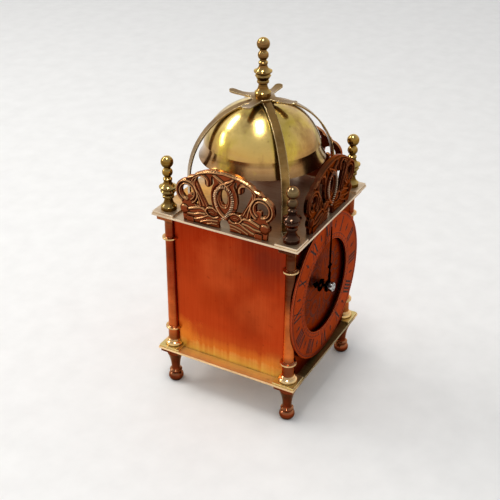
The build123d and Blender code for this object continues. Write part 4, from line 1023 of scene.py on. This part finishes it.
# %% Outline of a fret
def face_loops(name):
    """The edges, in (u, v) mm, round the broad front face of a plate that looks along -Y."""
    shape = bmesh.new()
    shape.from_mesh(nodes[name].data)
    bmesh.ops.remove_doubles(shape, verts=shape.verts, dist=1e-6)
    areas, faces_at = {}, {}
    for face in shape.faces:
        if face.normal.y < -0.999:
            key = round(face.calc_center_median().y / MM, 2)
            areas[key] = areas.get(key, 0.0) + face.calc_area()
            faces_at.setdefault(key, set()).add(face)
    level = max(areas, key=areas.get)
    front = faces_at[level]
    segments = []
    for edge in shape.edges:
        if sum(f in front for f in edge.link_faces) == 1:
            a, b = edge.verts
            segments.append(((a.co.x / MM, (a.co.z - roof_z) / MM), (b.co.x / MM, (b.co.z - roof_z) / MM)))
    shape.free()
    return np.array(segments), level * MM


def distances(points, segments):
    """The distance from each point to the nearest of the segments."""
    a, b = segments[:, 0], segments[:, 1]
    run = b - a
    length = np.maximum((run ** 2).sum(1), 1e-12)
    nearest = np.full(len(points), np.inf)
    for start in range(0, len(points), 4000):
        some = points[start:start + 4000]
        t = ((some[:, None] - a) * run).sum(2) / length
        foot = a + np.clip(t, 0, 1)[..., None] * run
        nearest[start:start + 4000] = np.sqrt(((some[:, None] - foot) ** 2).sum(2)).min(1)
    return nearest


def inside(points, segments):
    """Whether each point lies inside the outline, by counting the edges to its right."""
    a, b = segments[:, 0], segments[:, 1]
    held = np.zeros(len(points), bool)
    for (au, av), (bu, bv) in zip(a, b):
        if av == bv:
            continue
        crosses = (av > points[:, 1]) != (bv > points[:, 1])
        reach = au + (points[:, 1] - av) * (bu - au) / (bv - av)
        held ^= crosses & (points[:, 0] < reach)
    return held


segments, fret_face = face_loops("fret_front")
print("fret outline:", len(segments), "edges on the face at y", round(fret_face / MM, 2))


# %% [markdown]
# ## Ridges of the carving
# A carver leaves ridges along the rims, stems, fins and lips and cuts the ground away beside them. Each
# ridge is a smooth line with a half width and a height. The two dolphins mirror each other, but where their
# heads cross over the loop one lies on top, so those few lines stand on one side only.

# %% Ridges of the carving
def ring_line(centre, radius, start, sweep, steps=40):
    """Points along an arc, angles in degrees."""
    turns = [math.radians(start + sweep * k / steps) for k in range(steps + 1)]
    return [(centre[0] + radius * math.cos(a), centre[1] + radius * math.sin(a)) for a in turns]


CURL = (21.6, 16.8)         # middle of the curled tail
CURLS = [(0.62, 0.55, ring_line(CURL, 6.25, -60, 300)), (0.55, 0.45, ring_line(CURL, 4.45, -90, 330))]
PAIRS = [                   # half width, height, and corners of a smooth line on the right half
    (0.60, 0.55, [(21.0, 25.0), (18.6, 26.0), (16.6, 27.3), (14.0, 28.7), (8.0, 30.6), (0, 31.6)]),
    (0.50, 0.45, [(18.4, 24.2), (16.9, 25.9), (13.6, 27.5), (10.6, 27.3)]),
    (0.55, 0.50, [(13.6, 10.6), (14.6, 15.0), (16.2, 19.0), (17.7, 21.8), (18.2, 24.0)]),
    (0.50, 0.50, [(11.4, 11.4), (13.6, 15.8), (16.4, 20.6), (17.0, 23.6), (15.4, 26.4)]),
    (0.95, 0.50, [(9.2, 23.4), (9.2, 25.6), (10.4, 27.2), (12.4, 28.0)]),
    (0.62, 0.60, [(3.6, 9.8), (6.4, 11.2), (9.4, 10.4), (10.6, 8.6), (9.0, 6.6)]),
    (0.40, 0.35, [(5.6, 8.4), (7.2, 8.9), (8.4, 8.1)]),
    (0.50, 0.50, [(3.2, 6.6), (6.0, 5.6), (9.0, 6.2), (12.6, 4.2), (17.0, 2.4), (22.0, 2.2)]),
    (0.45, 0.40, [(3.6, 4.2), (6.6, 3.8), (10.0, 3.0), (14.0, 1.2)]),
    (0.40, 0.35, [(4.0, 2.3), (7.0, 2.0), (10.0, 1.0)]),
    (0.70, 0.55, [(10.4, 8.8), (13.4, 9.6), (17.4, 8.6), (20.6, 7.4)]),
    (0.55, 0.50, [(10.8, 6.6), (14.0, 6.2), (17.6, 5.0), (21.4, 4.8)])]
SINGLES = [                 # the lines of the crossing heads and of the loop
    (0.75, 0.60, [(-5.4, 29.6), (-2.4, 28.0), (1.6, 25.6), (3.4, 23.4)]),
    (0.75, 0.65, [(5.6, 29.4), (2.6, 27.4), (-1.4, 25.4), (-3.4, 23.2)]),
    (0.40, 0.50, [(5.2, 28.0), (3.0, 26.0), (0.6, 24.6)]),
    (0.40, 0.45, [(-4.6, 28.6), (-2.2, 26.4), (-0.4, 24.8)]),
    (1.15, 0.60, [(-1.8, 24.2), (-4.4, 21.4), (-5.0, 17.4), (-4.2, 12.8), (-1.8, 9.2), (1.2, 7.2)]),
    (0.40, 0.40, [(-3.0, 19.0), (-3.0, 16.2), (-1.4, 13.2), (1.6, 13.2), (3.0, 16.4), (3.0, 20.0)])]
DOMES = [((23.4, 6.6), 2.5, 1.15), ((6.4, 9.6), 3.2, 0.55), ((7.6, 9.4), 0.7, 0.75)]    # place, radius, rise

right_half = CURLS + [(half, rise, smooth_path(corners)) for half, rise, corners in PAIRS]
mirrored = [(half, rise, [(-u, v) for u, v in line]) for half, rise, line in right_half]
ridges = right_half + mirrored + [(half, rise, smooth_path(corners)) for half, rise, corners in SINGLES]
domes = DOMES + [((-u, v), radius, rise) for (u, v), radius, rise in DOMES]
print("carving:", len(ridges), "ridges and", len(domes), "domes")


# %% Height and rubbing of the carving
ROUNDED, ROUNDED_RISE = 0.8, 0.30       # mm from an edge over which the ground rounds up, and its height
FADE = 0.35                             # mm from an edge over which ridges fade out
RIDGE_WIDTH, RIDGE_RISE = 0.95, 1.3     # what the drawn ridges are multiplied by
CREST = 0.55                            # share of a ridge's half width that is painted bright, as highlight and wear
DITCH_AT, DITCH_WIDTH, DITCH_SHADE_AND_DIRT = 1.3, 0.42, 0.62     # where painted shade and dirt lie beside a ridge, in half widths
DOME_DITCH_AT, DOME_DITCH_WIDTH = 1.1, 0.12             # and round a dome, in radii
GROUND_RUB, CREST_SHEEN_AND_RUB, EDGE_RUB = 0.55, 0.45, 0.3       # how bright each is painted: the ground, the crests as highlight and wear, and the edges
EDGE_BAND = 0.25                        # mm of the outline that is rubbed as an edge


def dome(away):
    """A round back over a distance that is 1 at its foot."""
    return np.sqrt(np.clip(1 - away ** 2, 0, 1))


def carve(points, edge):
    """How far the skin stands out at each point, and how bright it is painted: 1 on crests, as highlight and
    wear, 0 in ditches, as shade and dirt.
    """
    ground = ROUNDED_RISE * dome(1 - np.clip(edge / ROUNDED, 0, 1))
    top, crest, ditch = np.zeros(len(points)), np.zeros(len(points)), np.zeros(len(points))
    for half_width, rise, line in ridges:
        line = np.array(line, float)
        away = distances(points, np.stack([line[:-1], line[1:]], axis=1)) / (RIDGE_WIDTH * half_width)
        top = np.maximum(top, RIDGE_RISE * rise * dome(away))
        crest = np.maximum(crest, np.clip(1 - (away / CREST) ** 2, 0, 1))
        ditch = np.maximum(ditch, np.exp(-((away - DITCH_AT) / DITCH_WIDTH) ** 2))
    for centre, radius, rise in domes:
        away = np.hypot(*(points - np.array(centre)).T) / radius
        top = np.maximum(top, rise * dome(away))
        ditch = np.maximum(ditch, np.exp(-((away - DOME_DITCH_AT) / DOME_DITCH_WIDTH) ** 2))
    # Painted light: crests are painted bright as highlight and wear, ditches dark as shade and dirt.
    rubbed_and_lit = GROUND_RUB + CREST_SHEEN_AND_RUB * crest - DITCH_SHADE_AND_DIRT * ditch * (crest < 0.05)
    rubbed_and_lit += EDGE_RUB * (edge < EDGE_BAND)
    return ground + top * np.clip(edge / FADE, 0, 1), np.clip(rubbed_and_lit, 0, 1)


highest = max(rise for half, rise, line in ridges)
print("a ridge stands up to", round(ROUNDED_RISE + RIDGE_RISE * highest, 2), "mm")


# %% [markdown]
# ## The carved skin
# The skin needs points close enough together to show a ridge half a millimetre wide, and it has to end
# exactly on the plate's own edges. A plain grid would cut them in steps. So the grid's points and the
# outline's corners are handed to a Delaunay net with the outline as fixed edges, and the triangles outside
# it are dropped.

# %% Carved skin of a fret
SKIN_SPACING = 0.26         # mm between the points of the net
SKIN_LIFT = 0.004           # mm between the plate and the skin, so that the two don't flicker


def grid_inside(segments, spacing):
    """Points of a triangular grid inside the outline, not too near to it."""
    low_u, low_v = segments.reshape(-1, 2).min(0)
    high_u, high_v = segments.reshape(-1, 2).max(0)
    rows = []
    for row, v in enumerate(np.arange(low_v, high_v, spacing * math.sqrt(3) / 2)):
        us = np.arange(low_u + (row % 2) * spacing / 2, high_u, spacing)
        rows.append(np.stack([us, np.full(len(us), v)], axis=1))
    grid = np.concatenate(rows)
    grid = grid[inside(grid, segments)]
    return grid[distances(grid, segments) > spacing * 0.45]


def net_of(segments, spacing):
    """Points and triangles of a net that fills the outline."""
    corners, border, along_edges = {}, [], []
    for start, end in segments:
        numbers = []
        for u, v in (start, end):
            number, place = corners.setdefault((round(u, 4), round(v, 4)), (len(corners), (u, v)))
            numbers.append(number)
        border.append(numbers)
        parts = int(np.hypot(*(end - start)) / spacing)
        along_edges += [start + (end - start) * k / parts for k in range(1, parts)]
    points = [place for number, place in corners.values()] + along_edges
    points += list(grid_inside(segments, spacing))
    net = geometry.delaunay_2d_cdt([Vector(p) for p in points], border, [], 0, 1e-6)
    points = np.array([tuple(p) for p in net[0]])
    triangles = [face for face in net[2] if len(face) == 3]
    kept = inside(np.array([points[list(face)].mean(0) for face in triangles]), segments)
    return points, [face for face, keep in zip(triangles, kept) if keep]


net_points, net_faces = net_of(segments, SKIN_SPACING)
edge = distances(net_points, segments)
height, rubbed_and_lit = carve(net_points, edge)
skin_points = np.column_stack([net_points, np.where(edge < 1e-4, 0.0, height) + SKIN_LIFT])
for side, turn_angle in SIDES:
    skin = bpy.data.meshes.new("fret_carving_" + side)
    skin.from_pydata([tuple(p) for p in skin_points], [], [tuple(f) for f in net_faces])
    carved = skin.attributes.new("carved", "FLOAT", "POINT")
    carved.data.foreach_set("value", rubbed_and_lit.astype(np.float32))
    finish_piece(skin.name, skin, on_face(fret_face, roof_z, turn_angle), carving_of[side],
                 smooth=180)
print("carved skin:", len(net_faces), "triangles")


# %% [markdown]
# ## Beaded band of the loop
# The right side of each loop is a scaly band that runs over the loop and down across the stem. Its scales
# are alike and follow a line, so a node tree sets one small tilted scale at every step of the line and
# turns it with the line.

# %% Beaded band
tree, inlet, keys = modifier_tree("scales on a line", {"Spacing": "Float", "Scale piece": "Object"})
spots = add(tree, "GeometryNodeCurveToPoints", {"Curve": inlet["Geometry"], "Length": inlet["Spacing"]},
            mode="LENGTH").outputs
scale_shape = add(tree, "GeometryNodeObjectInfo", {"Object": inlet["Scale piece"], "As Instance": True})
aim = add(tree, "FunctionNodeAlignRotationToVector", {"Vector": spots["Tangent"]}, axis="X", pivot_axis="Z")
copies = add(tree, "GeometryNodeInstanceOnPoints", {
    "Points": spots["Points"], "Instance": scale_shape.outputs["Geometry"], "Rotation": aim.outputs[0]})
end_tree(tree, inlet, copies.outputs["Instances"])

SCALE_SIZE = (0.36, 1.25, 0.70)         # half sizes along the band, across it and out of it, mm
SCALE_TILT = 24                         # degrees from straight across the band
SCALE_SPACING = 1.16
BAND_RISE = 0.62                        # mm from the plate to the middle of a scale
scale_mesh = bpy.data.meshes.new("scale")
shape = bmesh.new()
bmesh.ops.create_icosphere(shape, subdivisions=2, radius=1.0)
tilted = Matrix.Rotation(math.radians(SCALE_TILT), 4, "Z") @ Matrix.Diagonal((*SCALE_SIZE, 1.0))
bmesh.ops.transform(shape, matrix=tilted, verts=shape.verts)
scale_faces = len(shape.faces)
shape.to_mesh(scale_mesh)
shape.free()
scale_piece = new_object("scale", scale_mesh)
BANDS = [
    [(-3.0, 23.0), (-1.0, 24.4), (2.2, 23.8), (4.4, 21.4), (5.2, 17.8), (4.6, 13.6), (2.6, 9.8), (-0.2, 6.6)],
    [(-4.0, 21.6), (-5.0, 18.6), (-4.9, 15.6), (-4.0, 12.6)]]
for side, turn_angle in SIDES:
    scales = grow(tree, keys, poly_curve([smooth_path(corners) for corners in BANDS]),
                  {"Spacing": SCALE_SPACING, "Scale piece": scale_piece, "Material": scales_of[side]})
    band_place = on_face(fret_face, roof_z, turn_angle) @ Matrix.Translation((0, 0, BAND_RISE))
    finish_piece("fret_scales_" + side, scales, band_place, scales_of[side], smooth=60)
bpy.data.objects.remove(scale_piece)
print("scales on each fret:", len(scales.polygons) // scale_faces)


# %% [markdown]
# ## Floor and light
# The clock stands on a plain pale floor. Polished metal shows what is round it, so three soft strips of
# light hang behind and above the clock, where the photograph's bright streaks on the bell and the columns
# come from. The sky is white at the horizon and greyer overhead: with an even white one, the bell would
# look like paper.

# %% Floor and light
floor_material, tree = new_tree("pale floor")
floor_grain = spread(tree, noise(tree, object_place(tree), 60.0, 5.0), 0.3, 0.7)
floor_tone = blend(tree, floor_grain, colour(232, 231, 229), colour(238, 237, 235))
surface(tree, {"Base Color": floor_tone, "Roughness": 0.7})
floor_mesh = bpy.data.meshes.new("floor")
floor_mesh.from_pydata([(-3, -3, 0), (3, -3, 0), (3, 3, 0), (-3, 3, 0)], [], [(0, 1, 2, 3)])
floor_mesh.materials.append(floor_material)
floor = new_object("floor", floor_mesh)


LAMP_AIM = Vector((0.0, 0.0, 0.09))         # middle of the clock


def lamp(name, place, size, power, along, tint=(1.0, 1.0, 1.0)):
    """A soft strip that looks at the middle of the clock, its longer side turned along a direction."""
    light = bpy.data.lights.new(name, "AREA")
    light.shape = "RECTANGLE"
    light.size, light.size_y = size
    light.energy = power
    light.color = tint
    back = (Vector(place) - LAMP_AIM).normalized()
    short = Vector(along).cross(back).normalized()
    turn = Matrix((short, back.cross(short), back)).transposed().to_4x4()
    new_object(name, light).matrix_world = Matrix.Translation(place) @ turn


WINDOW_BAR = (0.885, -0.338, 0.318)
lamp("overhead", (-0.12, 0.01, 0.98), (0.15, 0.42), 3.4, (0.88, 0.48, 0.0), (1.0, 0.98, 0.94))
lamp("window", (0.02, 0.80, 0.90), (0.14, 0.46), 2.6, WINDOW_BAR, (1.0, 0.99, 0.96))
lamp("low window", (-0.37, 0.96, 0.56), (0.14, 0.34), 1.6, WINDOW_BAR)

world = bpy.data.worlds.new("studio")
bpy.context.scene.world = world
world.use_nodes = True
tree = world.node_tree
tree.nodes.clear()
HORIZON, OVERHEAD = (1.0, 1.0, 1.0, 1.0), (0.40, 0.41, 0.43, 1.0)
up = axes(tree, add(tree, "ShaderNodeTexCoord").outputs["Generated"])["Z"]
sky = blend(tree, spread(tree, up, 0.12, 0.95), HORIZON, OVERHEAD)
sky_light = add(tree, "ShaderNodeBackground", {"Color": sky, "Strength": 1.0})
add(tree, "ShaderNodeOutputWorld", {"Surface": sky_light.outputs["Background"]})
print("lamps:", [light.name for light in bpy.data.lights])


# %% [markdown]
# ## Camera
# The camera stands where the photograph was taken, above the front left corner, with a 70 mm lens. Its
# place was worked out from the edges of the two plates in the photograph, so every proportion can be
# compared with it.

# %% Camera
LENS = 69.8                                 # mm, on film that is 36 mm wide
CAMERA_PLACE = (-0.41434, -0.22105, 0.34908)
CAMERA_BACK = (-0.7585, -0.4180, 0.5)       # from what it looks at, back to the camera
CAMERA_ROLL = 0.16                          # degrees
camera_data = bpy.data.cameras.new("camera")
camera_data.lens = LENS
camera_data.sensor_width = 36.0
camera_data.sensor_fit = "HORIZONTAL"
camera_data.clip_start = 0.01
camera = new_object("camera", camera_data)
camera.location = CAMERA_PLACE
camera.rotation_euler = Vector(CAMERA_BACK).normalized().to_track_quat("Z", "Y").to_euler()
camera.rotation_euler.rotate_axis("Z", math.radians(CAMERA_ROLL))
bpy.context.scene.camera = camera
bpy.context.scene.view_settings.view_transform = "Standard"
print("camera", tuple(round(c, 4) for c in camera.location), "lens", camera_data.lens)
